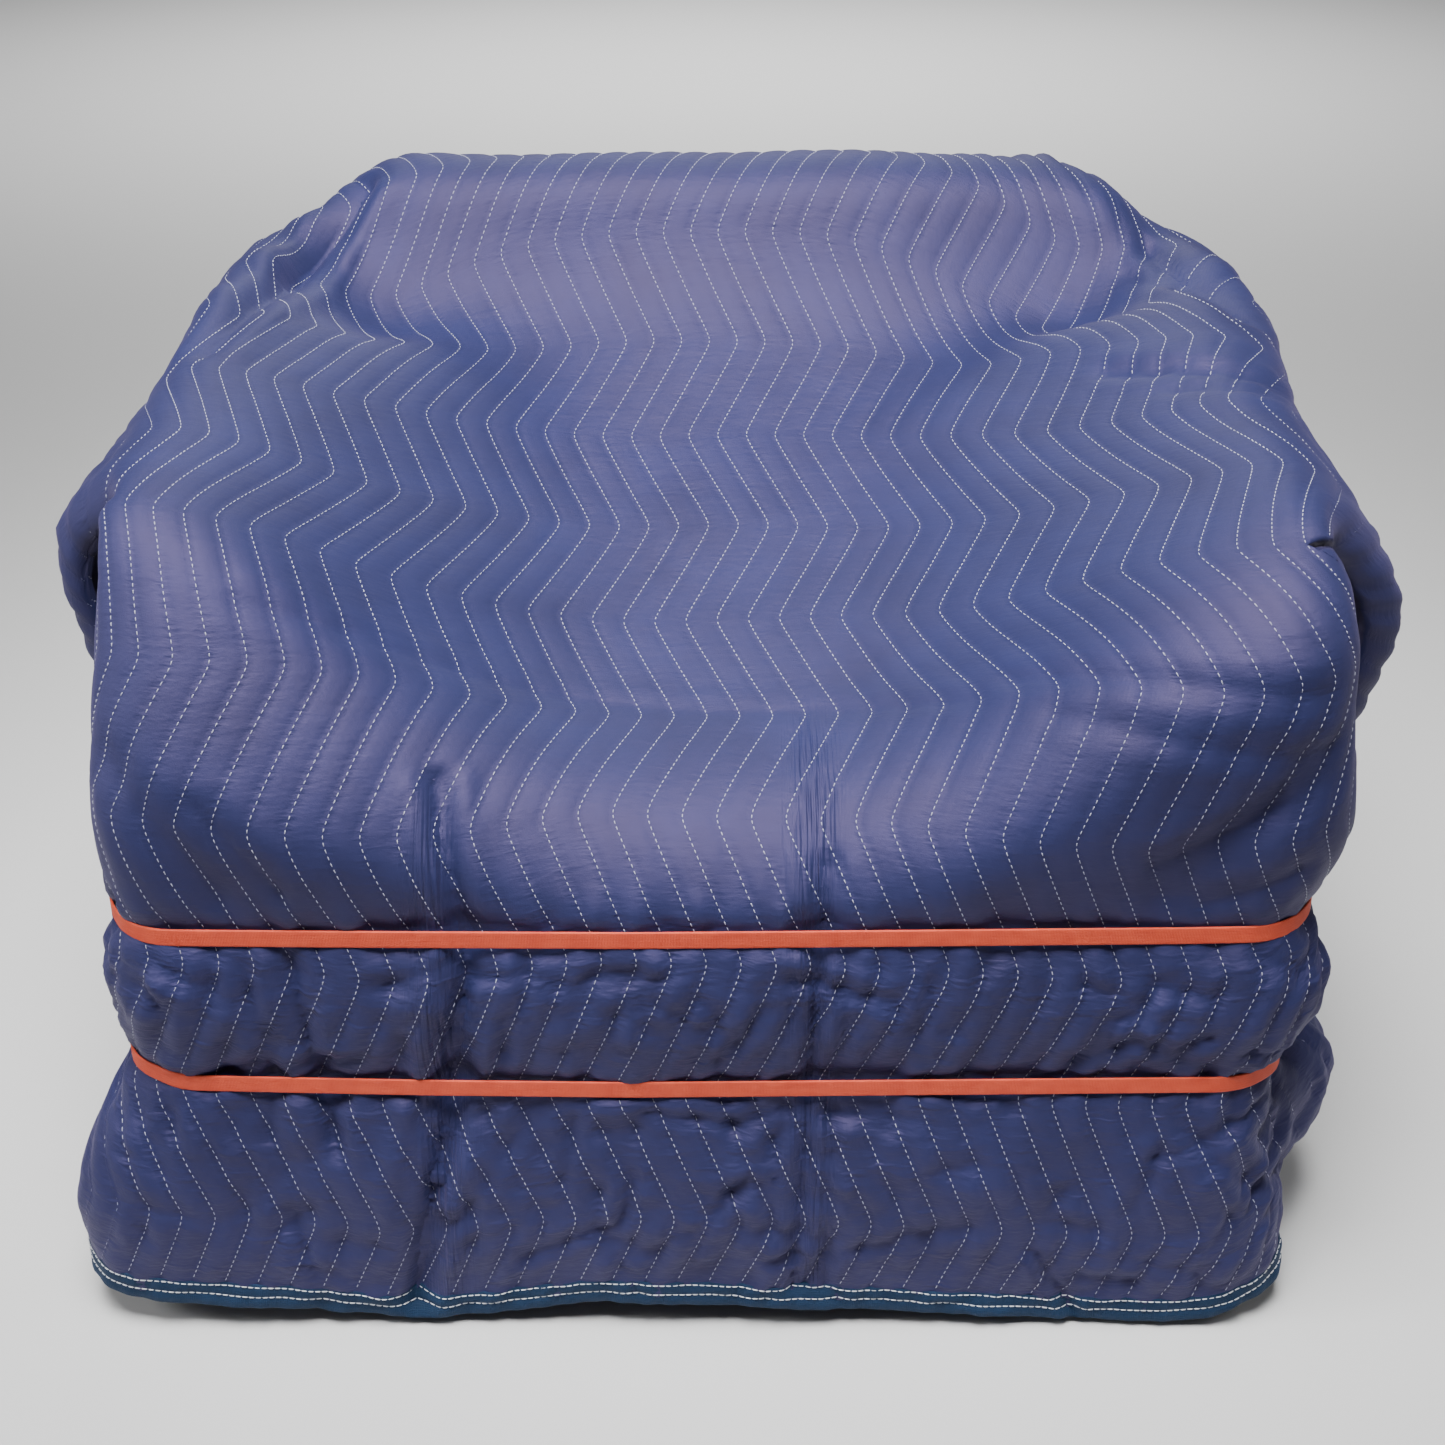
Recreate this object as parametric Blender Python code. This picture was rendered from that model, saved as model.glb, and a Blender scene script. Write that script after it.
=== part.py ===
"""Quilted moving blanket, wrapped over the shape of a small armchair and held by two elastic bands.

Metres, +Z up, -Y is the front. The model is worked out with the floor at z = 0 and the
front face at y = 0, and is moved at the end so that its origin is under the cloth where
it lies on top of the back.

The blanket is one rectangle of cloth. A point of it is named by u, its distance across
from the middle line, and v, its distance along from the front hem. Two charts say where
a point lies: the lengthwise one runs up the front face, over the seat and the back and
down behind, and wraps round the corners. The crosswise one hangs from the arms down
the sides and lies over those wraps, with a rounded ear at each end.
"""

import math

import bpy
import numpy as np

# Cut size and quilting of the blanket
WIDTH = 2.03
LENGTH = 1.83
CLOTH = 0.005
STITCH_PITCH = 0.0254
PUFF = 0.0022
HALF_WAVE = 0.113
FIRST_TIP = 0.088
ZIGZAG = 0.033

# Binding tape and elastic bands
TAPE_WIDTH = 0.022
TAPE_THICK = 0.0062
BAND_WIDTH = 0.014
BAND_THICK = 0.0016
BAND_SLOPE = 0.08
BAND_REACH = 0.008
BAND_CLEAR = 0.0022
GAP = 0.0011

# The shape underneath
DEPTH = 0.790
CORNER = 0.06
WRAP_TUCK = 0.022
CREST_X = 0.42
CREST_U = 18 * STITCH_PITCH
SHOULDER_DROP = 0.026
LEFT_WRAP_U = 0.533
RIGHT_WRAP_U = 0.590
BACK_WRAP_U = 0.560
SLIT_FRONT = FIRST_TIP + 5 * HALF_WAVE
SLIT_BACK = 1.300
WRAP_NOTCH = 0.020
PANEL_NOTCH = 0.004
EAR_TURN = 0.55 * math.pi
FLOOR_GAP = 0.018
LEFT_PULL = 0.022

# Height of the cloth over the middle of the seat and back: y, z
CENTRE_HEIGHT = (
    (0.000, 0.358),
    (0.014, 0.388),
    (0.030, 0.410),
    (0.055, 0.431),
    (0.085, 0.444),
    (0.120, 0.450),
    (0.175, 0.456),
    (0.250, 0.482),
    (0.330, 0.508),
    (0.410, 0.541),
    (0.480, 0.577),
    (0.545, 0.615),
    (0.580, 0.637),
    (0.615, 0.669),
    (0.645, 0.712),
    (0.668, 0.756),
    (0.700, 0.770),
    (0.740, 0.768),
    (0.790, 0.738),
)
# Height along the top of an arm: y, z on the left, z on the right
ARM_HEIGHT = (
    (0.000, 0.488, 0.585),
    (0.022, 0.528, 0.615),
    (0.050, 0.572, 0.634),
    (0.080, 0.613, 0.645),
    (0.114, 0.645, 0.651),
    (0.160, 0.657, 0.656),
    (0.300, 0.668, 0.668),
    (0.450, 0.690, 0.692),
    (0.600, 0.706, 0.708),
    (0.700, 0.704, 0.706),
    (0.790, 0.670, 0.672),
)
# Half-width at the shoulder, where a side starts to hang: y, left, right
SHOULDER = (
    (0.000, 0.452, 0.452),
    (0.150, 0.448, 0.454),
    (0.300, 0.450, 0.464),
    (0.450, 0.450, 0.482),
    (0.600, 0.452, 0.494),
    (0.700, 0.450, 0.476),
    (0.790, 0.450, 0.452),
)
# Front face: height, how far it bulges forward, half-width left and right
FRONT_FACE = (
    (0.000, 0.012, 0.503, 0.470),
    (0.060, 0.015, 0.507, 0.456),
    (0.100, 0.014, 0.505, 0.444),
    (0.145, 0.010, 0.494, 0.438),
    (0.185, 0.000, 0.474, 0.436),
    (0.225, -0.008, 0.452, 0.438),
    (0.255, 0.000, 0.454, 0.456),
    (0.292, 0.004, 0.458, 0.474),
    (0.330, -0.003, 0.456, 0.462),
    (0.355, -0.010, 0.447, 0.446),
    (0.380, -0.004, 0.448, 0.454),
    (0.430, 0.004, 0.449, 0.471),
    (0.520, 0.002, 0.444, 0.454),
    (0.640, 0.000, 0.445, 0.444),
)
# Lower right corner: height, how far the end of the wrap flares out
FLARE = (
    (0.000, 0.012),
    (0.050, 0.008),
    (0.078, 0.026),
    (0.110, 0.082),
    (0.140, 0.100),
    (0.175, 0.088),
    (0.200, 0.034),
    (0.216, 0.000),
)
# Side panels: height at the front edge, half-width left and right
SIDE_FACE = (
    (0.150, 0.468, 0.468),
    (0.225, 0.456, 0.456),
    (0.290, 0.472, 0.474),
    (0.355, 0.459, 0.459),
    (0.400, 0.484, 0.490),
    (0.450, 0.514, 0.524),
    (0.510, 0.530, 0.532),
    (0.560, 0.528, 0.514),
    (0.590, 0.508, 0.494),
    (0.620, 0.470, 0.464),
    (0.650, 0.458, 0.458),
)
# How far back the front edge of a side panel stands, by distance below the top of the arm
SIDE_EDGE = (
    (0.000, 0.000),
    (0.060, 0.050),
    (0.140, 0.066),
    (0.250, 0.080),
    (0.360, 0.125),
    (0.460, 0.180),
    (0.560, 0.200),
)
# Back face: height, how far it bulges backward
BACK_FACE = (
    (0.000, 0.012),
    (0.200, 0.006),
    (0.500, 0.006),
    (0.600, 0.012),
    (0.700, 0.008),
    (0.800, -0.010),
)
# Height of the front hem above the floor: u, z
HEM_HEIGHT = (
    (-0.560, 0.040),
    (-0.440, 0.026),
    (-0.330, 0.018),
    (-0.240, 0.006),
    (-0.175, 0.010),
    (-0.090, 0.024),
    (0.070, 0.018),
    (0.150, 0.014),
    (0.310, 0.004),
    (0.390, 0.006),
    (0.450, 0.024),
    (0.600, 0.050),
)
BACK_HALF_WIDTH = 0.435
# Bands: node, height at the front
BANDS = (
    ("upper_band", 0.355),
    ("lower_band", 0.225),
)
# Main folds: from u, v to u, v, depth, half-width
FOLDS = (
    (-0.425, 0.460, -0.350, 0.375, 0.008, 0.022),
    (0.415, 0.470, 0.330, 0.390, 0.009, 0.024),
)

# Fine lattice on which the charts are worked out
STEP_U = STITCH_PITCH / 2
STEP_V = HALF_WAVE / 10
SMOOTH_PASSES = 4

# Rows of the solid, by v: the edges, the zigzag's tips, the bands, the seat's and the back's bends
ROWS_HEM = (0.088, 0.140, 0.178, 0.201, 0.226, 0.262, 0.314, 0.337, 0.362)
ROWS_FRONT = (0.395, 0.427, 0.465, 0.500, 0.540, 0.595)
ROWS_SEAT = (0.666, 0.683, 0.7095, 0.766, 0.879, 0.992, 1.0485)
ROWS_TOP = (1.105, 1.140, 1.170, 1.198, 1.218, 1.243, 1.272)
ROWS_BACK = (1.331, 1.365, 1.444, 1.557, 1.670, 1.783)
BODY_COLUMNS = round(CREST_U / STEP_U)
WRAP_COLUMNS = 4
SIDE_COLUMNS = 78
INNER_BODY = (0, 6, 12, 18, 22, 26, 30, 32, 34, 36)
INNER_WRAP = (37, 38, 39, 40)
INNER_SIDE = (38, 40, 43, 47, 51, 54, 57, 60, 63, 66, 68, 70, 74, 78)


def column(table, index):
    """One named column of a table, as an array."""
    return np.array([row[index] for row in table], float)


def ease(t):
    """Goes from 0 to 1 with no slope at either end."""
    t = np.clip(t, 0.0, 1.0)
    return t * t * (3.0 - 2.0 * t)


def zigzag(v):
    """Sideways shift of every stitch line at v: a triangle wave whose first tip points right."""
    turn = (v - FIRST_TIP) / HALF_WAVE
    return ZIGZAG * (0.5 - np.abs((turn % 2.0) - 1.0)) * -1.0


def by_side(table, at, where):
    """Value of a table with a left and a right column, on the side that where's sign gives."""
    left = np.interp(at, column(table, 0), column(table, -2))
    right = np.interp(at, column(table, 0), column(table, -1))
    return np.where(where < 0, left, right)


def top_height(x, y):
    """Height of the cloth over seat, arms and back."""
    centre = np.interp(y, column(CENTRE_HEIGHT, 0), column(CENTRE_HEIGHT, 1))
    arm = by_side(ARM_HEIGHT, y, x)
    across = np.abs(x) / CREST_X
    over_seat = ease((across - 0.12) / 0.92) ** 1.15
    over_back = ease((across - np.where(x < 0, 0.66, 0.74)) / np.where(x < 0, 0.36, 0.31))
    share = over_seat + (over_back - over_seat) * ease((y - 0.46) / 0.14)
    return centre + (arm - centre) * share


def corner(u, half_width):
    """How far across and how far back a point at u lies when the cloth turns a corner and tucks in."""
    along = np.abs(u)
    flat = half_width - CORNER
    turn = np.clip((along - flat) / CORNER, 0.0, math.pi / 2)
    past = np.maximum(along - flat - CORNER * math.pi / 2, 0.0)
    across = np.minimum(along, flat) + CORNER * np.sin(turn)
    tuck = np.clip(0.5 * (along - half_width - 0.4 * CORNER), 0.0, WRAP_TUCK)
    return across - tuck, CORNER * (1.0 - np.cos(turn)) + past


def front_wall(u, z):
    """A point of the front face or of its wrap."""
    out = np.interp(z, column(FRONT_FACE, 0), column(FRONT_FACE, 1))
    half_width = by_side(FRONT_FACE, z, u)
    across, back = corner(u, half_width)
    flare = np.interp(z, column(FLARE, 0), column(FLARE, 1)) * ease((np.abs(u) - half_width - 0.02) / 0.09)
    across = across + np.where(u > 0, flare, 0.0)
    return np.stack([np.sign(u) * across, back - out, z], -1)


def back_wall(u, z):
    """A point of the back face or of its wrap."""
    out = np.interp(z, column(BACK_FACE, 0), column(BACK_FACE, 1))
    across, forward = corner(u, BACK_HALF_WIDTH)
    return np.stack([np.sign(u) * across, DEPTH + out - forward, z], -1)


def top_run(x):
    """Distance along the cloth at each y of the top, for a line that crosses it at x."""
    y = np.linspace(0.0, DEPTH, 200)
    z = top_height(x, y)
    steps = np.hypot(np.diff(y), np.diff(z))
    return y, np.concatenate([[0.0], np.cumsum(steps)])


def across_top(u):
    """How far out a point lies on top, and how far it has rolled over past the crest of the arm."""
    share = np.clip(np.abs(u) / CREST_U, 0.0, 1.0)
    x = np.minimum(np.abs(u), CREST_U) - (CREST_U - CREST_X) * share**4
    beyond = np.maximum(np.abs(u) - CREST_U, 0.0)
    turn = np.clip(beyond / 0.05, 0.0, 1.0)
    x = x + 0.03 * np.sin(turn * math.pi / 2) - np.clip(0.5 * (beyond - 0.02), 0.0, 0.02)
    return x, np.where(turn < 1.0, beyond * turn / 2, beyond - 0.025)


def slide(u, v):
    """v measured from the floor: it starts at the hem's height, and evens out higher up."""
    hem = np.interp(u, column(HEM_HEIGHT, 0), column(HEM_HEIGHT, 1))
    even = FLOOR_GAP + LEFT_PULL * np.clip(-u / CREST_U, 0.0, 1.0) ** 2
    return v + hem + (even - hem) * ease((v - 0.35) / 0.30)


def lengthwise(u, v):
    """Rough position of a point that runs up the front, over the top and down the back."""
    points = np.zeros(u.shape + (3,))
    slid = slide(u, v)
    for j in range(u.shape[1]):
        across, side = u[0, j], np.sign(u[0, j])
        x, over = across_top(across)
        y, run = top_run(side * x)
        front = float(top_height(side * x, 0.0))
        on_top = slid[:, j] - front
        behind = on_top - run[-1]
        y_top = np.interp(on_top, run, y)
        height = top_height(side * x, y_top)
        slope = np.arctan((top_height(side * x, y_top + 0.01) - top_height(side * x, y_top - 0.01)) / 0.02)
        x_front, over_front = corner(across, by_side(FRONT_FACE, front, side))
        x_back, over_back = corner(across, BACK_HALF_WIDTH)
        by_front = 1.0 - ease(y_top / 0.12)
        by_back = ease((y_top - DEPTH + 0.11) / 0.11)
        x_top = x + by_front * (x_front - x) + by_back * (x_back - x)
        over = over + by_front * (over_front - over) + by_back * (over_back - over)
        slope = slope + by_front * (1.35 - slope) + by_back * (-1.35 - slope)
        top = np.stack([side * x_top, y_top + over * np.sin(slope), height - over * np.cos(slope)], -1)
        wall = front_wall(np.full_like(y_top, across), slid[:, j])
        rear_z = float(top_height(side * x, DEPTH)) - np.maximum(behind, 0.0)
        rear = back_wall(np.full_like(y_top, across), rear_z)
        points[:, j] = np.where((on_top < 0)[:, None], wall, np.where((behind > 0)[:, None], rear, top))
    return points


def crosswise(u, v):
    """Rough position of a point of the top or of a side panel that hangs from an arm."""
    points = lengthwise(np.clip(u, -CREST_U, CREST_U), v)
    held_v = np.clip(v, SLIT_FRONT, SLIT_BACK)
    out = np.sign(u)
    down = np.abs(u) - CREST_U
    for side in (-1, 1):
        y_run, run = top_run(side * CREST_X)
        at_front = float(top_height(side * CREST_X, 0.0))
        front_room, back_room = held_v - SLIT_FRONT, SLIT_BACK - held_v
        share = front_room / (SLIT_BACK - SLIT_FRONT)
        set_back = np.interp(down, column(SIDE_EDGE, 0), column(SIDE_EDGE, 1))

        def hanging(at_v):
            """Where a point of the panel hangs, before its ends turn in."""
            y_crest = np.interp(slide(side * CREST_U, at_v) - at_front, run, y_run)
            y = y_crest + set_back * (1.0 - share) - 0.3 * set_back * share
            shoulder = by_side(SHOULDER, y_crest, u)
            roll = SHOULDER_DROP * 1.6
            turn = np.clip(down / roll, 0.0, 1.0) * math.pi / 2
            crest = top_height(side * CREST_X, y_crest)
            z = crest - SHOULDER_DROP * (1.0 - np.cos(turn)) - np.maximum(down - roll, 0.0)
            level = z - BAND_SLOPE * y - 0.05 * ease((y - 0.4) / 0.3)
            full = by_side(SIDE_FACE, level, u)
            middle = 1.0 - ease((y - 0.15) / 0.40)
            bulge = full - 0.458
            wide = shoulder + np.where(bulge > 0, bulge * middle, bulge)
            tight = ease((level - 0.36) / 0.12)
            wide = wide * tight + (0.458 + bulge) * (1.0 - tight)
            x = CREST_X + (wide - CREST_X) * np.sin(turn)
            return x, y, z

        x, y, z = hanging(held_v)
        radius = np.clip(x - 0.447, 0.003, 0.030) / 1.9 * ease(down / 0.05) + 0.0005
        for room, forward in ((front_room, -1), (back_room, 1)):
            turning = np.clip(1.0 - room / (radius * EAR_TURN), 0.0, 1.0) * EAR_TURN
            straight_v = SLIT_FRONT + radius * EAR_TURN if forward < 0 else SLIT_BACK - radius * EAR_TURN
            _, y_turn, _ = hanging(straight_v)
            y = np.where(turning > 0, y_turn + forward * radius * np.sin(turning), y)
            x = x - radius * (1.0 - np.cos(turning))
        panel = np.stack([out * x, y, z], -1)
        points = np.where(((down > 0) & (out == side))[..., None], panel, points)
    return points


def smoothed(points):
    """The lattice with its sharp bends rounded, as thick cloth rounds them."""
    for _ in range(SMOOTH_PASSES):
        for axis in (0, 1):
            ahead = np.concatenate([points.take(range(1, points.shape[axis]), axis), points.take([-1], axis)], axis)
            behind = np.concatenate([points.take([0], axis), points.take(range(points.shape[axis] - 1), axis)], axis)
            points = 0.25 * ahead + 0.5 * points + 0.25 * behind
    return points


def unevenness(u, v):
    """Soft swells of a blanket that lies over padding, a few millimetres high."""
    long_swell = np.sin(9.0 * u + 5.0 * v + 0.6) * np.sin(7.0 * v - 4.0 * u)
    short_swell = np.sin(21.0 * u - 9.0 * v + 1.9) * np.sin(17.0 * v + 8.0 * u + 0.4)
    behind = 1.0 - 0.7 * ease((v - SLIT_BACK) / 0.1)
    return (0.0035 * long_swell + 0.0018 * short_swell) * behind


def fold_depth(u, v):
    """Depth of the main folds at a point."""
    depth = np.zeros_like(u)
    for u0, v0, u1, v1, deep, wide in FOLDS:
        du, dv = u1 - u0, v1 - v0
        share = np.clip(((u - u0) * du + (v - v0) * dv) / (du * du + dv * dv), 0.0, 1.0)
        away = np.hypot(u - u0 - share * du, v - v0 - share * dv)
        depth = depth + deep * np.exp(-((away / wide) ** 2))
    return depth


class Cloth:
    """The blanket's middle surface: both charts on a fine lattice, with their normals."""

    def __init__(self):
        half = WIDTH / 2 + 2 * STEP_U
        self.u = np.arange(-half, half + STEP_U, STEP_U)
        self.v = np.arange(-2 * STEP_V, LENGTH + 3 * STEP_V, STEP_V)
        u, v = np.meshgrid(self.u, self.v)
        self.charts = []
        for rough in (lengthwise(u, v), crosswise(u, v)):
            points = smoothed(rough)
            normals = self.normals(points)
            shift = unevenness(u, v) * ease(v / 0.1) - fold_depth(u, v)
            points = points + normals * shift[..., None]
            self.charts.append((points, smoothed(self.normals(points))))

    @staticmethod
    def normals(points):
        across = np.gradient(points, axis=1)
        along = np.gradient(points, axis=0)
        normal = np.cross(across, along)
        return normal / np.maximum(np.linalg.norm(normal, axis=-1, keepdims=True), 1e-12)

    def sample(self, chart, u, v):
        """Position and normal on one chart, between the lattice's points."""
        i = np.clip((v - self.v[0]) / STEP_V, 0, len(self.v) - 1.001)
        j = np.clip((u - self.u[0]) / STEP_U, 0, len(self.u) - 1.001)
        i0, j0 = int(i), int(j)
        a, b = i - i0, j - j0
        found = []
        for grid in self.charts[chart]:
            low = grid[i0, j0] * (1 - b) + grid[i0, j0 + 1] * b
            high = grid[i0 + 1, j0] * (1 - b) + grid[i0 + 1, j0 + 1] * b
            found.append(low * (1 - a) + high * a)
        return found

    def at(self, u, v, side=False):
        """Position and unit normal at u, v. side picks the hanging side panel where a wrap lies under it."""
        over_top = ease((v - SLIT_FRONT + 0.04) / 0.08) * ease((SLIT_BACK + 0.04 - v) / 0.08)
        fade = max(0.0, 1.0 - max(0.0, abs(u) - CREST_U) / 0.06)
        share = 1.0 - (1.0 - over_top) * fade if side else over_top * fade
        first, second = self.sample(0, u, v), self.sample(1, u, v)
        point = first[0] * (1 - share) + second[0] * share
        normal = first[1] * (1 - share) + second[1] * share
        return point, normal / np.linalg.norm(normal)


def wrap_limit(side, v):
    """How far across the cloth reaches at v where it wraps round a corner under a side panel."""
    if v <= SLIT_FRONT:
        reach, room = (LEFT_WRAP_U if side < 0 else RIGHT_WRAP_U), SLIT_FRONT - v
    else:
        reach, room = BACK_WRAP_U, v - SLIT_BACK
    return min(reach, CREST_U + side * zigzag(v) + 0.022 + 0.3 * room)


def column_u(layer, k, v):
    """Distance across of column k at v, with the zigzag that all stitch lines share."""
    side = -1 if k < 0 else 1
    beyond = abs(k) - BODY_COLUMNS
    if beyond <= 0:
        return k * STEP_U + zigzag(v)
    root = side * CREST_U + zigzag(v)
    if layer == "wrap":
        return root + (side * wrap_limit(side, v) - root) * beyond / WRAP_COLUMNS
    edge = WIDTH / 2 - TAPE_WIDTH
    if abs(k) == SIDE_COLUMNS:
        return side * edge
    fade = min(1.0, (SIDE_COLUMNS - abs(k)) / 6)
    return k * STEP_U + zigzag(v) * fade


def rise(k, v, point):
    """How far the outer face stands out from the middle surface: low on a stitch line, high between two."""
    height = PUFF if k % 2 else 0.0
    from_hem = min(v - TAPE_WIDTH, LENGTH - TAPE_WIDTH - v)
    height *= min(1.0, max(0.0, from_hem / 0.05))
    if v < 0.5 or v > SLIT_BACK or abs(k) > BODY_COLUMNS:
        for _, level in BANDS:
            away = point[2] - level - BAND_SLOPE * point[1]
            height *= 1.0 - 0.75 * math.exp(-((away / 0.014) ** 2))
    return CLOTH / 2 + height


def add_object(name, vertices, faces, material):
    """A mesh object from points and faces, shaded smooth up to sharp edges."""
    mesh = bpy.data.meshes.new(name)
    mesh.from_pydata([tuple(p) for p in vertices], [], faces)
    mesh.validate()
    mesh.materials.append(material)
    mesh.shade_smooth()
    mesh.set_sharp_from_angle(angle=math.radians(50))
    obj = bpy.data.objects.new(name, mesh)
    return obj


class Blanket:
    """The quilted cloth as one closed solid: a fine outer face, a plainer inner face and a rim."""

    def __init__(self, cloth):
        self.cloth = cloth
        edges = (TAPE_WIDTH, SLIT_FRONT, SLIT_BACK, LENGTH - TAPE_WIDTH)
        self.rows = sorted(edges + ROWS_HEM + ROWS_FRONT + ROWS_SEAT + ROWS_TOP + ROWS_BACK)
        self.slits = (self.rows.index(SLIT_FRONT), self.rows.index(SLIT_BACK))
        self.vertices, self.faces, self.known = [], [], {}

    def vertex(self, layer, k, row, outer):
        if abs(k) <= BODY_COLUMNS:
            layer = "body"
        key = (layer, k, row, outer)
        if key not in self.known:
            v = self.rows[row]
            u = column_u(layer, k, v)
            notch = max(0.0, abs(u - zigzag(v)) - CREST_U)
            if row in self.slits and layer == "wrap":
                v += min(WRAP_NOTCH, notch) * (-1 if row == self.slits[0] else 1)
            if row in self.slits and layer == "side":
                v += min(PANEL_NOTCH, 0.3 * notch) * (1 if row == self.slits[0] else -1)
            point, normal = self.cloth.at(u, v, side=layer == "side")
            out = rise(k, v, point) if outer else -CLOTH / 2
            self.known[key] = len(self.vertices)
            self.vertices.append(point + normal * out)
        return self.known[key]

    def columns(self, layer, outer, row=None):
        """Columns of a face, left to right. The inner face has fewer, but for its hem rows."""
        reach = {"wrap": BODY_COLUMNS + WRAP_COLUMNS, "side": SIDE_COLUMNS}[layer]
        if outer or row in (0, len(self.rows) - 1):
            return list(range(-reach, reach + 1))
        half = INNER_BODY + (INNER_WRAP if layer == "wrap" else INNER_SIDE)
        return [-k for k in reversed(half[1:])] + list(half)

    def strip(self, ks, ring_a, ring_b, flip):
        """Faces between two rows of points. ks names the few columns; a ring may hold more between them."""
        for a, b in zip(ks, ks[1:]):
            run_a, run_b = ring_a(a, b), ring_b(a, b)
            if len(run_a) == len(run_b):
                found = [[run_a[i], run_a[i + 1], run_b[i + 1], run_b[i]] for i in range(len(run_a) - 1)]
            else:
                few, many = (run_a, run_b) if len(run_a) < len(run_b) else (run_b, run_a)
                half = len(many) // 2
                found = [[few[0], many[i + 1], many[i]] for i in range(half)]
                found += [[few[-1], many[i + 1], many[i]] for i in range(half, len(many) - 1)]
                found.append([few[0], few[-1], many[half]])
                if few is run_b:
                    found = [f[::-1] for f in found]
            self.faces.extend(f[::-1] if flip else f for f in found)

    def ring(self, layer, row, outer):
        """Gives the points of a row between two columns."""
        ks = self.columns(layer, outer, row)
        return lambda a, b: [self.vertex(layer, k, row, outer) for k in ks if a <= k <= b]

    def face_rows(self, layer, rows):
        """Outer and inner faces of a stretch of rows."""
        few = self.columns(layer, False)
        for row in rows:
            self.strip(few, self.ring(layer, row, True), self.ring(layer, row + 1, True), False)
            self.strip(few, self.ring(layer, row, False), self.ring(layer, row + 1, False), True)

    def rim_row(self, layer, row, first, last, upper):
        """The rim that closes the cloth along a row, between two columns. upper says which way it faces."""
        ks = [k for k in self.columns(layer, False) if first <= k <= last]
        self.strip(ks, self.ring(layer, row, False), self.ring(layer, row, True), upper)

    def rim_column(self, layer, k, rows):
        """The rim that closes the cloth along an end column."""
        for row in rows:
            quad = [
                self.vertex(layer, k, row, True),
                self.vertex(layer, k, row, False),
                self.vertex(layer, k, row + 1, False),
                self.vertex(layer, k, row + 1, True),
            ]
            self.faces.append(quad if k > 0 else quad[::-1])

    def build(self, material):
        front, back = self.slits
        last = len(self.rows) - 1
        wrap, side = BODY_COLUMNS + WRAP_COLUMNS, SIDE_COLUMNS
        self.face_rows("wrap", range(0, front))
        self.face_rows("side", range(front, back))
        self.face_rows("wrap", range(back, last))
        self.rim_row("wrap", 0, -wrap, wrap, False)
        self.rim_row("wrap", last, -wrap, wrap, True)
        for ends in ((BODY_COLUMNS, wrap), (-wrap, -BODY_COLUMNS)):
            self.rim_row("wrap", front, *ends, True)
            self.rim_row("wrap", back, *ends, False)
        for ends in ((BODY_COLUMNS, side), (-side, -BODY_COLUMNS)):
            self.rim_row("side", front, *ends, False)
            self.rim_row("side", back, *ends, True)
        for k in (-wrap, wrap):
            self.rim_column("wrap", k, range(0, front))
            self.rim_column("wrap", k, range(back, last))
        for k in (-side, side):
            self.rim_column("side", k, range(front, back))
        return add_object("quilted_cloth", self.vertices, self.faces, material)


def loft(name, sections, material, closed=False):
    """A solid through sections of four points each, capped unless it closes on itself."""
    vertices = [p for section in sections for p in section]
    count, faces = len(sections), []
    for i in range(count if closed else count - 1):
        a, b = 4 * i, 4 * ((i + 1) % count)
        for c in range(4):
            d = (c + 1) % 4
            faces.append([a + c, a + d, b + d, b + c])
    if not closed:
        faces.append([3, 2, 1, 0])
        faces.append([4 * (count - 1) + c for c in range(4)])
    return add_object(name, vertices, faces, material)


def binding(cloth, name, path, side, material):
    """A tape along an edge of the cloth. path holds u, v of the cloth's edge and the way out of it."""
    sections = []
    for u, v, du, dv in path:
        near = cloth.at(u + du * GAP, v + dv * GAP, side)
        far = cloth.at(u + du * TAPE_WIDTH, v + dv * TAPE_WIDTH, side)
        half = TAPE_THICK / 2
        sections.append(
            [near[0] + near[1] * half, far[0] + far[1] * half, far[0] - far[1] * half, near[0] - near[1] * half]
        )
    return loft(name, sections, material)


def turned(u, v, start, end, steps=5):
    """A rounded corner of the tape: the way out turns from one bearing to another, in degrees."""
    bearings = [math.radians(start + (end - start) * i / steps) for i in range(steps + 1)]
    return [(u, v, math.cos(b), math.sin(b)) for b in bearings]


def hem_columns(v):
    """Distances across of the cloth's columns at a hem, between its two corners."""
    reach = BODY_COLUMNS + WRAP_COLUMNS
    return [column_u("wrap", k, v) for k in range(1 - reach, reach)]


def front_path(rows):
    """Down the left end of the front wrap, along the front hem and up the right end."""
    low = TAPE_WIDTH
    left, right = -LEFT_WRAP_U, RIGHT_WRAP_U
    ends = [v for v in rows if low < v <= 0.43]
    path = [(left, v, -1.0, 0.0) for v in reversed(ends)]
    path += turned(left, low, 180.0, 270.0)
    path += [(u, low, 0.0, -1.0) for u in hem_columns(low)]
    path += turned(right, low, 270.0, 360.0)
    path += [(right, v, 1.0, 0.0) for v in ends]
    return path


def side_path(side, rows):
    """Along a side panel's hem."""
    edge = side * (WIDTH / 2 - TAPE_WIDTH)
    ends = [v for v in rows if SLIT_FRONT < v < SLIT_BACK]
    ends = [SLIT_FRONT + PANEL_NOTCH] + ends + [SLIT_BACK - PANEL_NOTCH]
    return [(edge, v, float(side), 0.0) for v in (ends if side > 0 else ends[::-1])]


def back_path():
    """Along the hem behind, from right to left."""
    high = LENGTH - TAPE_WIDTH
    across = [BACK_WRAP_U] + hem_columns(high)[::-1] + [-BACK_WRAP_U]
    return [(u, high, 0.0, 1.0) for u in across]


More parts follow.
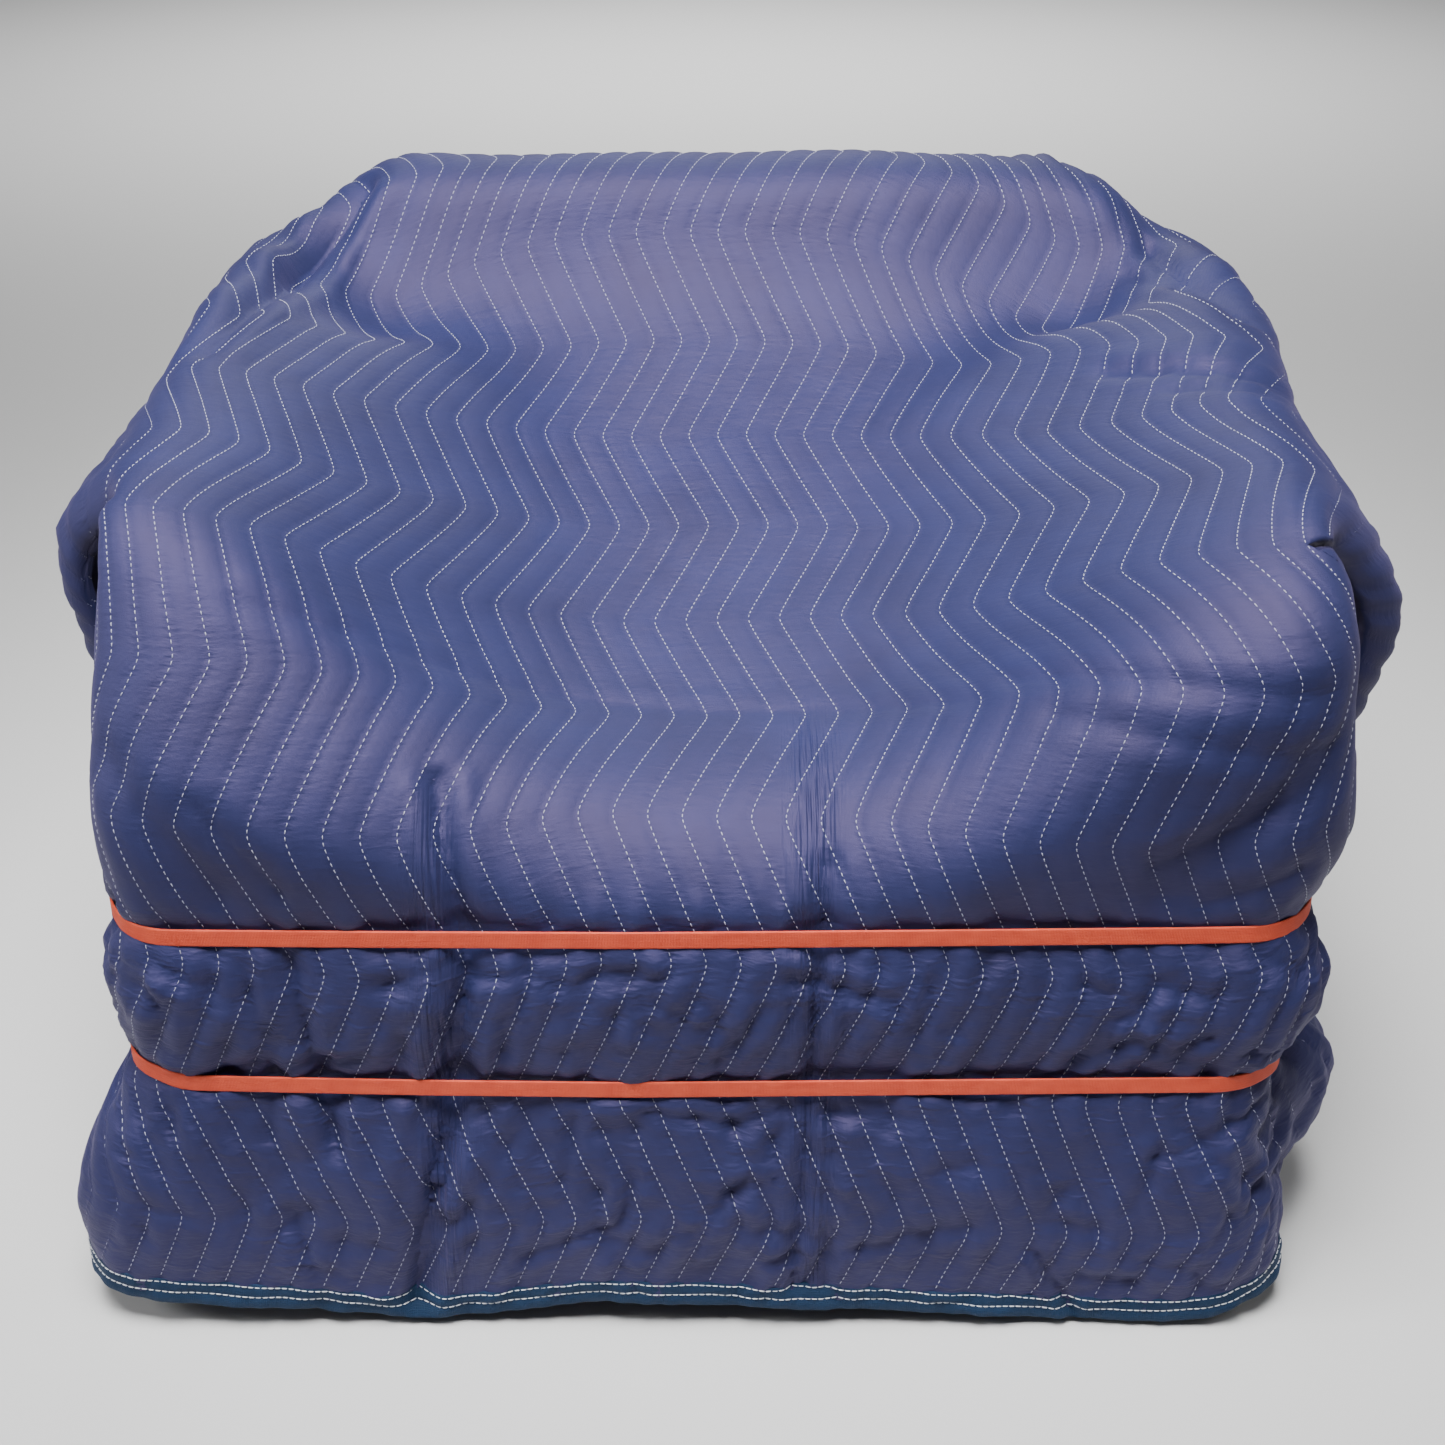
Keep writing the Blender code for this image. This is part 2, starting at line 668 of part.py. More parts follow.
def hull(points):
    """The convex outline round points in a plane, anticlockwise: where a taut band lies."""
    ordered = sorted({(round(float(x), 6), round(float(y), 6)) for x, y in points})

    def half(run):
        kept = []
        for p in run:
            while len(kept) > 1:
                (ax, ay), (bx, by) = kept[-2], kept[-1]
                if (bx - ax) * (p[1] - ay) - (by - ay) * (p[0] - ax) > 0:
                    break
                kept.pop()
            kept.append(p)
        return kept[:-1]

    return half(ordered) + half(ordered[::-1])


def taut_loop(outline):
    """The outline with only the corners that a band needs, each with its way out."""
    points = np.array(outline)
    ahead = np.roll(points, -1, 0) - points
    bearing = np.unwrap(np.arctan2(ahead[:, 1], ahead[:, 0]))
    kept, last = [], None
    for i, point in enumerate(points):
        middle = (bearing[i] + bearing[i - 1]) / 2 if i else bearing[0]
        far = last is None or np.hypot(*(point - last[0])) > 0.06
        if far or middle - last[1] > math.radians(2.5):
            last = (point, middle)
            kept.append((point, np.array([math.sin(middle), -math.cos(middle)])))
    return kept


def band(passed, name, level, material):
    """A flat elastic band, taut round every piece that it passes."""
    near = []
    for obj in passed:
        for edge in obj.data.edges:
            p, q = (obj.data.vertices[i].co for i in edge.vertices)
            above = [r[2] - level - BAND_SLOPE * r[1] for r in (p, q)]
            rise_over = above[1] - above[0]
            if min(above) > BAND_REACH or max(above) < -BAND_REACH or abs(rise_over) < 1e-9:
                continue
            for t in ((-BAND_REACH - above[0]) / rise_over, (BAND_REACH - above[0]) / rise_over):
                at = p + (q - p) * min(max(t, 0.0), 1.0)
                near.append((at[0], at[1]))
    sections = []
    for point, out in taut_loop(hull(near)):
        z = level + BAND_SLOPE * point[1]
        inner = np.array([*(point + out * BAND_CLEAR), z])
        outer = np.array([*(point + out * (BAND_CLEAR + BAND_THICK)), z])
        up = np.array([0.0, 0.0, BAND_WIDTH / 2])
        sections.append([outer + up, outer - up, inner - up, inner + up])
    return loft(name, sections, material, closed=True)


def finish(name, colour, roughness):
    """A plain surface finish."""
    material = bpy.data.materials.new(name)
    material.use_nodes = True
    shader = material.node_tree.nodes["Principled BSDF"]
    shader.inputs["Base Color"].default_value = (*colour, 1.0)
    shader.inputs["Roughness"].default_value = roughness
    shader.inputs["Metallic"].default_value = 0.0
    return material


def main():
    for old in list(bpy.data.objects):
        bpy.data.objects.remove(old)
    group = bpy.data.collections.new("wrapped_moving_blanket")
    bpy.context.scene.collection.children.link(group)
    cloth_finish = finish("woven_polyester", (0.085, 0.095, 0.29), 0.62)
    tape_finish = finish("binding_tape", (0.035, 0.065, 0.17), 0.75)
    band_finish = finish("orange_elastic", (0.80, 0.11, 0.04), 0.55)

    cloth = Cloth()
    blanket = Blanket(cloth)
    rows = blanket.rows
    made = [blanket.build(cloth_finish)]
    made.append(binding(cloth, "front_binding", front_path(rows), False, tape_finish))
    made.append(binding(cloth, "left_binding", side_path(-1, rows), True, tape_finish))
    made.append(binding(cloth, "right_binding", side_path(1, rows), True, tape_finish))
    made.append(binding(cloth, "back_binding", back_path(), False, tape_finish))
    bands = [band(made, name, level, band_finish) for name, level in BANDS]
    made.extend(bands)

    top, normal = cloth.at(0.0, 1.203)
    origin = top - normal * CLOTH / 2
    for obj in made:
        group.objects.link(obj)
        for vertex in obj.data.vertices:
            vertex.co = [a - b for a, b in zip(vertex.co, origin)]
    print("origin above the floor and behind the front face:", origin)


main()
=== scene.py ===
# %% [markdown]
# # A quilted moving blanket, bound round with elastic bands
#
# A moving blanket is two woven polyester faces with a soft filling between them, quilted with
# zigzag lines of pale thread and bound with tape round its edge. Here it keeps the shape of what
# it was tied over, a seat between two arms with a higher back, and two orange elastic bands hold
# it tight. It is hollow, and open at the floor.
#
# Cloth could be dropped onto a stand-in by simulation, but the zigzag lines would then land
# wherever the solver leaves them. This script places every point of the flat cloth by formula
# instead: u is the distance across from the middle line and v the distance along from the front
# hem. Every stitch, pucker and tape is then a simple shape in u and v.

import math

import bpy
import numpy as np
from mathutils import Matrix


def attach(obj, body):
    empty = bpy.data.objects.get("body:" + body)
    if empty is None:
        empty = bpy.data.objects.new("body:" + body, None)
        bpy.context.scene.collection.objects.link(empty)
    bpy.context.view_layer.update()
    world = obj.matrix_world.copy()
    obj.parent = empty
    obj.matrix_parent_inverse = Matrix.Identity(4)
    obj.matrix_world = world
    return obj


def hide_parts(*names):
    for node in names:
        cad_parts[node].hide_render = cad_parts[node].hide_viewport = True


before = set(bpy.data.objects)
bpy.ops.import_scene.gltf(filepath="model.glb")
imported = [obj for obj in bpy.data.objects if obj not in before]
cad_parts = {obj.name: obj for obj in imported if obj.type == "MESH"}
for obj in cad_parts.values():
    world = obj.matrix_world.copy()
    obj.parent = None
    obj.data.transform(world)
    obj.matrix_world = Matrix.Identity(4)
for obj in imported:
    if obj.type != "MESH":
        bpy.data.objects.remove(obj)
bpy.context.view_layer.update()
print("nodes:", sorted(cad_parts))

# %% [markdown]
# ## Sizes
#
# The first values describe the flat blanket: its cut size, the pitch of its stitch lines and the
# half wave of the zigzag. The tables after them say how it lies: each row is one station, and the
# comment above a table names its columns. They are the values that the solids were made from, so
# the dressed piece lies where the solid does. Only ZIGZAG, the zigzag's height from peak to peak,
# and PUFF, the height of the quilting, are the dressed piece's own: they were measured once more.

# %% The flat blanket and what is sewn or strapped to it
# Cut size and quilting of the blanket
WIDTH = 2.03
LENGTH = 1.83
CLOTH = 0.005
PITCH = 0.0254
HALF_WAVE = 0.113
FIRST_TIP = 0.088
ZIGZAG = 0.043
TIP_SHARP = 0.985
PUFF = 0.0034

# Binding tape and elastic bands
TAPE_WIDTH = 0.022
TAPE_THICK = 0.0062
BAND_WIDTH = 0.014
BAND_THICK = 0.0016
BAND_SLOPE = 0.08

print("blanket", WIDTH, "x", LENGTH, "m, stitch lines", PITCH, "m apart")

# %% The shape underneath, and how the cloth turns its corners
# CREST_X and CREST_U are the top of an arm, in place and along the cloth. A wrap is what turns
# round a corner, and the slits between wraps and side panels start at SLIT_FRONT and SLIT_BACK.
DEPTH = 0.790
CORNER = 0.06
WRAP_TUCK = 0.022
CREST_X = 0.42
CREST_U = 18 * PITCH
SHOULDER_DROP = 0.026
LEFT_WRAP_U = 0.533
RIGHT_WRAP_U = 0.590
BACK_WRAP_U = 0.560
SLIT_FRONT = FIRST_TIP + 5 * HALF_WAVE
SLIT_BACK = 1.300
WRAP_NOTCH = 0.020
PANEL_NOTCH = 0.004
EAR_TURN = 0.55 * math.pi
FLOOR_GAP = 0.018
LEFT_PULL = 0.022
BACK_HALF_WIDTH = 0.435
BANDS = (
    ("upper_band", 0.355),
    ("lower_band", 0.225),
)
STEP_U = PITCH / 2
STEP_V = HALF_WAVE / 10
SMOOTH_PASSES = 4
ORIGIN = np.array([0.0, 0.7173, 0.7659])
print("slits from v =", round(SLIT_FRONT, 3), "to", SLIT_BACK, "and bands at", BANDS)

# %% How the blanket lies: seat, arms and shoulders
# Height of the cloth over the middle of the seat and back: y, z
CENTRE_HEIGHT = (
    (0.000, 0.358),
    (0.014, 0.388),
    (0.030, 0.410),
    (0.055, 0.431),
    (0.085, 0.444),
    (0.120, 0.450),
    (0.175, 0.456),
    (0.250, 0.482),
    (0.330, 0.508),
    (0.410, 0.541),
    (0.480, 0.577),
    (0.545, 0.615),
    (0.580, 0.637),
    (0.615, 0.669),
    (0.645, 0.712),
    (0.668, 0.756),
    (0.700, 0.770),
    (0.740, 0.768),
    (0.790, 0.738),
)
# Height along the top of an arm: y, z on the left, z on the right
ARM_HEIGHT = (
    (0.000, 0.488, 0.585),
    (0.022, 0.528, 0.615),
    (0.050, 0.572, 0.634),
    (0.080, 0.613, 0.645),
    (0.114, 0.645, 0.651),
    (0.160, 0.657, 0.656),
    (0.300, 0.668, 0.668),
    (0.450, 0.690, 0.692),
    (0.600, 0.706, 0.708),
    (0.700, 0.704, 0.706),
    (0.790, 0.670, 0.672),
)
# Half-width at the shoulder, where a side starts to hang: y, left, right
SHOULDER = (
    (0.000, 0.452, 0.452),
    (0.150, 0.448, 0.454),
    (0.300, 0.450, 0.464),
    (0.450, 0.450, 0.482),
    (0.600, 0.452, 0.494),
    (0.700, 0.450, 0.476),
    (0.790, 0.450, 0.452),
)
print(len(CENTRE_HEIGHT), "stations over the seat,", len(ARM_HEIGHT), "along an arm")

# %% How the blanket lies: front face, sides and back
# Front face: height, how far it bulges forward, half-width left and right
FRONT_FACE = (
    (0.000, 0.012, 0.503, 0.470),
    (0.060, 0.015, 0.507, 0.456),
    (0.100, 0.014, 0.505, 0.444),
    (0.145, 0.010, 0.494, 0.438),
    (0.185, 0.000, 0.474, 0.436),
    (0.225, -0.008, 0.452, 0.438),
    (0.255, 0.000, 0.454, 0.456),
    (0.292, 0.004, 0.458, 0.474),
    (0.330, -0.003, 0.456, 0.462),
    (0.355, -0.010, 0.447, 0.446),
    (0.380, -0.004, 0.448, 0.454),
    (0.430, 0.004, 0.449, 0.471),
    (0.520, 0.002, 0.444, 0.454),
    (0.640, 0.000, 0.445, 0.444),
)
# Lower right corner: height, how far the end of the wrap flares out
FLARE = (
    (0.000, 0.012),
    (0.050, 0.008),
    (0.078, 0.026),
    (0.110, 0.082),
    (0.140, 0.100),
    (0.175, 0.088),
    (0.200, 0.034),
    (0.216, 0.000),
)
# Side panels: height at the front edge, half-width left and right
SIDE_FACE = (
    (0.150, 0.468, 0.468),
    (0.225, 0.456, 0.456),
    (0.290, 0.472, 0.474),
    (0.355, 0.459, 0.459),
    (0.400, 0.484, 0.490),
    (0.450, 0.514, 0.524),
    (0.510, 0.530, 0.532),
    (0.560, 0.528, 0.514),
    (0.590, 0.508, 0.494),
    (0.620, 0.470, 0.464),
    (0.650, 0.458, 0.458),
)
# How far back the front edge of a side panel stands, by distance below the top of the arm
SIDE_EDGE = (
    (0.000, 0.000),
    (0.060, 0.050),
    (0.140, 0.066),
    (0.250, 0.080),
    (0.360, 0.125),
    (0.460, 0.180),
    (0.560, 0.200),
)
# Back face: height, how far it bulges backward
BACK_FACE = (
    (0.000, 0.012),
    (0.200, 0.006),
    (0.500, 0.006),
    (0.600, 0.012),
    (0.700, 0.008),
    (0.800, -0.010),
)
print(len(FRONT_FACE), "heights on the front face,", len(SIDE_FACE), "on a side panel")

# %% How the blanket lies: its hem and its main folds
# Height of the front hem above the floor: u, z
HEM_HEIGHT = (
    (-0.560, 0.040),
    (-0.440, 0.026),
    (-0.330, 0.018),
    (-0.240, 0.006),
    (-0.175, 0.010),
    (-0.090, 0.024),
    (0.070, 0.018),
    (0.150, 0.014),
    (0.310, 0.004),
    (0.390, 0.006),
    (0.450, 0.024),
    (0.600, 0.050),
)
# Main folds: from u, v to u, v, depth, half-width
FOLDS = (
    (-0.425, 0.460, -0.350, 0.375, 0.008, 0.022),
    (0.415, 0.470, 0.330, 0.390, 0.009, 0.024),
)
print(len(HEM_HEIGHT), "stations along the hem,", len(FOLDS), "main folds")

# %% [markdown]
# ## Where a point of the cloth lies
#
# Two charts place the flat cloth. The lengthwise chart runs up the front face, over the seat and
# the back and down behind, and turns round the corners. The crosswise chart hangs from the arms
# down the sides. Both are worked out on a lattice of points, smoothed as thick cloth smooths a
# bend, and then read between the lattice's points with a cubic, so that no facet shows.


# %% Small helpers
def column(table, index):
    """One named column of a table, as an array."""
    return np.array([row[index] for row in table], float)


def ease(t):
    """Goes from 0 to 1 with no slope at either end."""
    t = np.clip(t, 0.0, 1.0)
    return t * t * (3.0 - 2.0 * t)


def bell(x, width):
    """1 at x = 0, falling off over about width."""
    return np.exp(-((x / width) ** 2))


def zigzag(v):
    """Sideways shift of every stitch line at v. Its tips are rounded, as a machine turns."""
    turn = (v - FIRST_TIP) / HALF_WAVE
    return 0.5 * ZIGZAG * np.arcsin(TIP_SHARP * np.cos(np.pi * turn)) / math.asin(TIP_SHARP)


def by_side(table, at, where):
    """Value of a table with a left and a right column, on the side that where's sign gives."""
    left = np.interp(at, column(table, 0), column(table, -2))
    right = np.interp(at, column(table, 0), column(table, -1))
    return np.where(where < 0, left, right)


# %% Height of the top
def top_height(x, y):
    """Height of the cloth over seat, arms and back."""
    centre = np.interp(y, column(CENTRE_HEIGHT, 0), column(CENTRE_HEIGHT, 1))
    arm = by_side(ARM_HEIGHT, y, x)
    across = np.abs(x) / CREST_X
    over_seat = ease((across - 0.12) / 0.92) ** 1.15
    over_back = ease((across - np.where(x < 0, 0.66, 0.74)) / np.where(x < 0, 0.36, 0.31))
    share = over_seat + (over_back - over_seat) * ease((y - 0.46) / 0.14)
    return centre + (arm - centre) * share


print("crest at", round(float(top_height(0.0, 0.70)), 3), "m, seat at its middle",
      round(float(top_height(0.0, 0.30)), 3), "m above the floor")


# %% The two walls, and how cloth turns their corners
def corner(u, half_width):
    """How far across and how far back a point at u lies, where cloth turns a corner and tucks."""
    along = np.abs(u)
    flat = half_width - CORNER
    turn = np.clip((along - flat) / CORNER, 0.0, math.pi / 2)
    past = np.maximum(along - flat - CORNER * math.pi / 2, 0.0)
    across = np.minimum(along, flat) + CORNER * np.sin(turn)
    tuck = np.clip(0.5 * (along - half_width - 0.4 * CORNER), 0.0, WRAP_TUCK)
    return across - tuck, CORNER * (1.0 - np.cos(turn)) + past


def front_wall(u, z):
    """A point of the front face or of its wrap."""
    out = np.interp(z, column(FRONT_FACE, 0), column(FRONT_FACE, 1))
    half_width = by_side(FRONT_FACE, z, u)
    across, back = corner(u, half_width)
    past_corner = ease((np.abs(u) - half_width - 0.02) / 0.09)
    flare = np.interp(z, column(FLARE, 0), column(FLARE, 1)) * past_corner
    across = across + np.where(u > 0, flare, 0.0)
    return np.stack([np.sign(u) * across, back - out, z], -1)


def back_wall(u, z):
    """A point of the back face or of its wrap."""
    out = np.interp(z, column(BACK_FACE, 0), column(BACK_FACE, 1))
    across, forward = corner(u, BACK_HALF_WIDTH)
    return np.stack([np.sign(u) * across, DEPTH + out - forward, z], -1)


# %% Distances along the top
def top_run(x):
    """Distance along the cloth at each y of the top, for a line that crosses it at x."""
    y = np.linspace(0.0, DEPTH, 200)
    z = top_height(x, y)
    steps = np.hypot(np.diff(y), np.diff(z))
    return y, np.concatenate([[0.0], np.cumsum(steps)])


def across_top(u):
    """How far out a point lies on top, and how far it has rolled over past the crest of the arm."""
    share = np.clip(np.abs(u) / CREST_U, 0.0, 1.0)
    x = np.minimum(np.abs(u), CREST_U) - (CREST_U - CREST_X) * share**4
    beyond = np.maximum(np.abs(u) - CREST_U, 0.0)
    turn = np.clip(beyond / 0.05, 0.0, 1.0)
    x = x + 0.03 * np.sin(turn * math.pi / 2) - np.clip(0.5 * (beyond - 0.02), 0.0, 0.02)
    return x, np.where(turn < 1.0, beyond * turn / 2, beyond - 0.025)


def slide(u, v):
    """v measured from the floor: it starts at the hem's height, and evens out higher up."""
    hem = np.interp(u, column(HEM_HEIGHT, 0), column(HEM_HEIGHT, 1))
    even = FLOOR_GAP + LEFT_PULL * np.clip(-u / CREST_U, 0.0, 1.0) ** 2
    return v + hem + (even - hem) * ease((v - 0.35) / 0.30)


print("cloth over the seat and the back:", round(float(top_run(0.0)[1][-1]), 3), "m")


# %% The lengthwise chart
def lengthwise(u, v):
    """Rough position of a point that runs up the front, over the top and down the back."""
    points = np.zeros(u.shape + (3,))
    slid = slide(u, v)
    for j in range(u.shape[1]):
        across, side = u[0, j], np.sign(u[0, j])
        x, over = across_top(across)
        y, run = top_run(side * x)
        front = float(top_height(side * x, 0.0))
        on_top = slid[:, j] - front
        behind = on_top - run[-1]
        y_top = np.interp(on_top, run, y)
        height = top_height(side * x, y_top)
        rise = top_height(side * x, y_top + 0.01) - top_height(side * x, y_top - 0.01)
        slope = np.arctan(rise / 0.02)
        x_front, over_front = corner(across, by_side(FRONT_FACE, front, side))
        x_back, over_back = corner(across, BACK_HALF_WIDTH)
        by_front = 1.0 - ease(y_top / 0.12)
        by_back = ease((y_top - DEPTH + 0.11) / 0.11)
        x_top = x + by_front * (x_front - x) + by_back * (x_back - x)
        over = over + by_front * (over_front - over) + by_back * (over_back - over)
        slope = slope + by_front * (1.35 - slope) + by_back * (-1.35 - slope)
        y_over, z_over = y_top + over * np.sin(slope), height - over * np.cos(slope)
        top = np.stack([side * x_top, y_over, z_over], -1)
        wall = front_wall(np.full_like(y_top, across), slid[:, j])
        rear_z = float(top_height(side * x, DEPTH)) - np.maximum(behind, 0.0)
        rear = back_wall(np.full_like(y_top, across), rear_z)
        top_or_rear = np.where((behind > 0)[:, None], rear, top)
        points[:, j] = np.where((on_top < 0)[:, None], wall, top_or_rear)
    return points


# %% The crosswise chart
def crosswise(u, v):
    """Rough position of a point of the top or of a side panel that hangs from an arm."""
    points = lengthwise(np.clip(u, -CREST_U, CREST_U), v)
    held_v = np.clip(v, SLIT_FRONT, SLIT_BACK)
    out = np.sign(u)
    down = np.abs(u) - CREST_U
    for side in (-1, 1):
        y_run, run = top_run(side * CREST_X)
        at_front = float(top_height(side * CREST_X, 0.0))
        front_room, back_room = held_v - SLIT_FRONT, SLIT_BACK - held_v
        share = front_room / (SLIT_BACK - SLIT_FRONT)
        set_back = np.interp(down, column(SIDE_EDGE, 0), column(SIDE_EDGE, 1))

        def hanging(at_v):
            """Where a point of the panel hangs, before its ends turn in."""
            y_crest = np.interp(slide(side * CREST_U, at_v) - at_front, run, y_run)
            y = y_crest + set_back * (1.0 - share) - 0.3 * set_back * share
            shoulder = by_side(SHOULDER, y_crest, u)
            roll = SHOULDER_DROP * 1.6
            turn = np.clip(down / roll, 0.0, 1.0) * math.pi / 2
            crest = top_height(side * CREST_X, y_crest)
            z = crest - SHOULDER_DROP * (1.0 - np.cos(turn)) - np.maximum(down - roll, 0.0)
            level = z - BAND_SLOPE * y - 0.05 * ease((y - 0.4) / 0.3)
            full = by_side(SIDE_FACE, level, u)
            middle = 1.0 - ease((y - 0.15) / 0.40)
            bulge = full - 0.458
            wide = shoulder + np.where(bulge > 0, bulge * middle, bulge)
            tight = ease((level - 0.36) / 0.12)
            wide = wide * tight + (0.458 + bulge) * (1.0 - tight)
            x = CREST_X + (wide - CREST_X) * np.sin(turn)
            return x, y, z

        x, y, z = hanging(held_v)
        radius = np.clip(x - 0.447, 0.003, 0.030) / 1.9 * ease(down / 0.05) + 0.0005
        for room, forward in ((front_room, -1), (back_room, 1)):
            turning = np.clip(1.0 - room / (radius * EAR_TURN), 0.0, 1.0) * EAR_TURN
            reach = radius * EAR_TURN
            straight_v = SLIT_FRONT + reach if forward < 0 else SLIT_BACK - reach
            _, y_turn, _ = hanging(straight_v)
            y = np.where(turning > 0, y_turn + forward * radius * np.sin(turning), y)
            x = x - radius * (1.0 - np.cos(turning))
        panel = np.stack([out * x, y, z], -1)
        points = np.where(((down > 0) & (out == side))[..., None], panel, points)
    return points


# %% Round the bends
def smoothed(points):
    """The lattice with its sharp bends rounded, as thick cloth rounds them."""
    for _ in range(SMOOTH_PASSES):
        for axis in (0, 1):
            last = points.shape[axis] - 1
            ahead = points.take([*range(1, last + 1), last], axis)
            behind = points.take([0, *range(last)], axis)
            points = 0.25 * ahead + 0.5 * points + 0.25 * behind
    return points


# %% Soft swells and folds of the whole cloth
def unevenness(u, v):
    """Soft swells of a blanket that lies over padding, a few millimetres high."""
    long_swell = np.sin(9.0 * u + 5.0 * v + 0.6) * np.sin(7.0 * v - 4.0 * u)
    short_swell = np.sin(21.0 * u - 9.0 * v + 1.9) * np.sin(17.0 * v + 8.0 * u + 0.4)
    behind = 1.0 - 0.7 * ease((v - SLIT_BACK) / 0.1)
    return (0.0035 * long_swell + 0.0018 * short_swell) * behind


def fold_depth(u, v):
    """Depth of the main folds at a point."""
    depth = np.zeros_like(u)
    for u0, v0, u1, v1, deep, wide in FOLDS:
        du, dv = u1 - u0, v1 - v0
        share = np.clip(((u - u0) * du + (v - v0) * dv) / (du * du + dv * dv), 0.0, 1.0)
        away = np.hypot(u - u0 - share * du, v - v0 - share * dv)
        depth = depth + deep * np.exp(-((away / wide) ** 2))
    return depth


# %% Read the charts between their points
def cubic_weights(t):
    """Weights of the four nearest lattice points for a smooth curve through them."""
    return (
        ((2.0 - t) * t - 1.0) * t / 2.0,
        ((3.0 * t - 5.0) * t * t + 2.0) / 2.0,
        ((4.0 - 3.0 * t) * t + 1.0) * t / 2.0,
        (t - 1.0) * t * t / 2.0,
    )


def normals_of(points):
    """Unit normals of a lattice of points."""
    across = np.gradient(points, axis=1)
    along = np.gradient(points, axis=0)
    normal = np.cross(across, along)
    return normal / np.maximum(np.linalg.norm(normal, axis=-1, keepdims=True), 1e-12)


class Surface:
    """The blanket's middle surface: both charts on a fine lattice, with their normals."""

    def __init__(self):
        half = WIDTH / 2 + 2 * STEP_U
        self.u = np.arange(-half, half + STEP_U, STEP_U)
        self.v = np.arange(-2 * STEP_V, LENGTH + 3 * STEP_V, STEP_V)
        u, v = np.meshgrid(self.u, self.v)
        self.charts = []
        for rough in (lengthwise(u, v), crosswise(u, v)):
            points = smoothed(rough)
            shift = unevenness(u, v) * ease(v / 0.1) - fold_depth(u, v)
            points = points + normals_of(points) * shift[..., None]
            self.charts.append(np.concatenate([points, smoothed(normals_of(points))], -1))

    def read(self, chart, u, v):
        """Position and normal on one chart, six numbers a point."""
        grid = self.charts[chart]
        i = np.clip((v - self.v[0]) / STEP_V, 1.0, len(self.v) - 2.001)
        j = np.clip((u - self.u[0]) / STEP_U, 1.0, len(self.u) - 2.001)
        i0, j0 = i.astype(int), j.astype(int)
        found = 0.0
        for row, down in enumerate(cubic_weights(i - i0)):
            for col, across in enumerate(cubic_weights(j - j0)):
                found = found + grid[i0 + row - 1, j0 + col - 1] * (down * across)[..., None]
        return found

    def at(self, u, v, side):
        """Positions and unit normals. side is 1 on a hanging side panel and 0 on the rest."""
        u, v, side = (np.asarray(x, float) for x in np.broadcast_arrays(u, v, side))
        over_top = ease((v - SLIT_FRONT + 0.04) / 0.08) * ease((SLIT_BACK + 0.04 - v) / 0.08)
        fade = np.clip(1.0 - np.maximum(0.0, np.abs(u) - CREST_U) / 0.06, 0.0, 1.0)
        share = np.where(side > 0.5, 1.0 - (1.0 - over_top) * fade, over_top * fade)[..., None]
        both = self.read(0, u, v) * (1.0 - share) + self.read(1, u, v) * share
        normal = both[..., 3:]
        return both[..., :3], normal / np.linalg.norm(normal, axis=-1, keepdims=True)


surface = Surface()
print("lattice of", len(surface.u), "by", len(surface.v), "points for each chart")

# %% [markdown]
# ## Puffs, puckers and gathers
#
# Filled cloth puffs up between two stitch lines and dips at them, less where it is stretched over
# the seat and the back. Under a band it is squeezed flat, and just above and below the band it
# gathers in short folds. The blanket also keeps the upright creases it had when it was folded in
# its packet, has pleats where the top turns down to the arms, and lies crumpled in front. They
# could be sculpted by hand, but a height in metres along the cloth's normal for each of them,
# added up, is easier to change and comes out the same each time.


# %% Random swells that are the same on every run
def swell(u, v, size, seed):
    """A smooth random height between -1 and 1, with bumps about as wide as size."""
    grid = np.random.default_rng(seed).uniform(-1.0, 1.0, (61, 61))
    i, j = v / size + 307.3, u / size + 311.7
    i0, j0 = np.floor(i).astype(int), np.floor(j).astype(int)
    a, b = ease(i - i0), ease(j - j0)
    top = grid[i0 % 61, j0 % 61] * (1 - b) + grid[i0 % 61, (j0 + 1) % 61] * b
    low = grid[(i0 + 1) % 61, j0 % 61] * (1 - b) + grid[(i0 + 1) % 61, (j0 + 1) % 61] * b
    return top * (1 - a) + low * a


print("swell of 50 mm at the middle of the hem:", round(float(swell(0.0, 0.0, 0.05, 7)), 3))


# %% Puffs between the stitch lines
def halfway(u, v):
    """0 on a stitch line, 1 halfway between two."""
    return np.abs(np.sin(np.pi * (u - zigzag(v)) / PITCH))


def stretched(u, v):
    """1 where the cloth is stretched over the seat and the back, 0 where it hangs."""
    return ease((v - 0.315) / 0.07) * ease((1.32 - v) / 0.06) * ease((0.54 - np.abs(u)) / 0.08)


def puff(u, v):
    """Height of the quilting, most halfway between two lines. Stretched cloth puffs less."""
    from_hem = np.minimum(v - TAPE_WIDTH, LENGTH - TAPE_WIDTH - v)
    full = PUFF * (1.0 - 0.52 * stretched(u, v)) * np.clip(0.25 + from_hem / 0.05, 0.25, 1.0)
    return full * halfway(u, v) ** 0.65


print("puff on the back:", round(float(puff(PITCH / 2 + zigzag(1.5), 1.5)) * 1000, 2), "mm")


# %% Sharp creases
def crease_line(u, v, ends, wide):
    """1 beside a straight crease and 0 past its ends, and the signed distance to its left."""
    u0, v0, u1, v1 = ends
    du, dv = u1 - u0, v1 - v0
    length = math.hypot(du, dv)
    along = ((u - u0) * du + (v - v0) * dv) / length
    away = ((u - u0) * dv - (v - v0) * du) / length
    inside = ease((along + wide) / (2 * wide)) * ease((length + wide - along) / (2 * wide))
    return inside, away


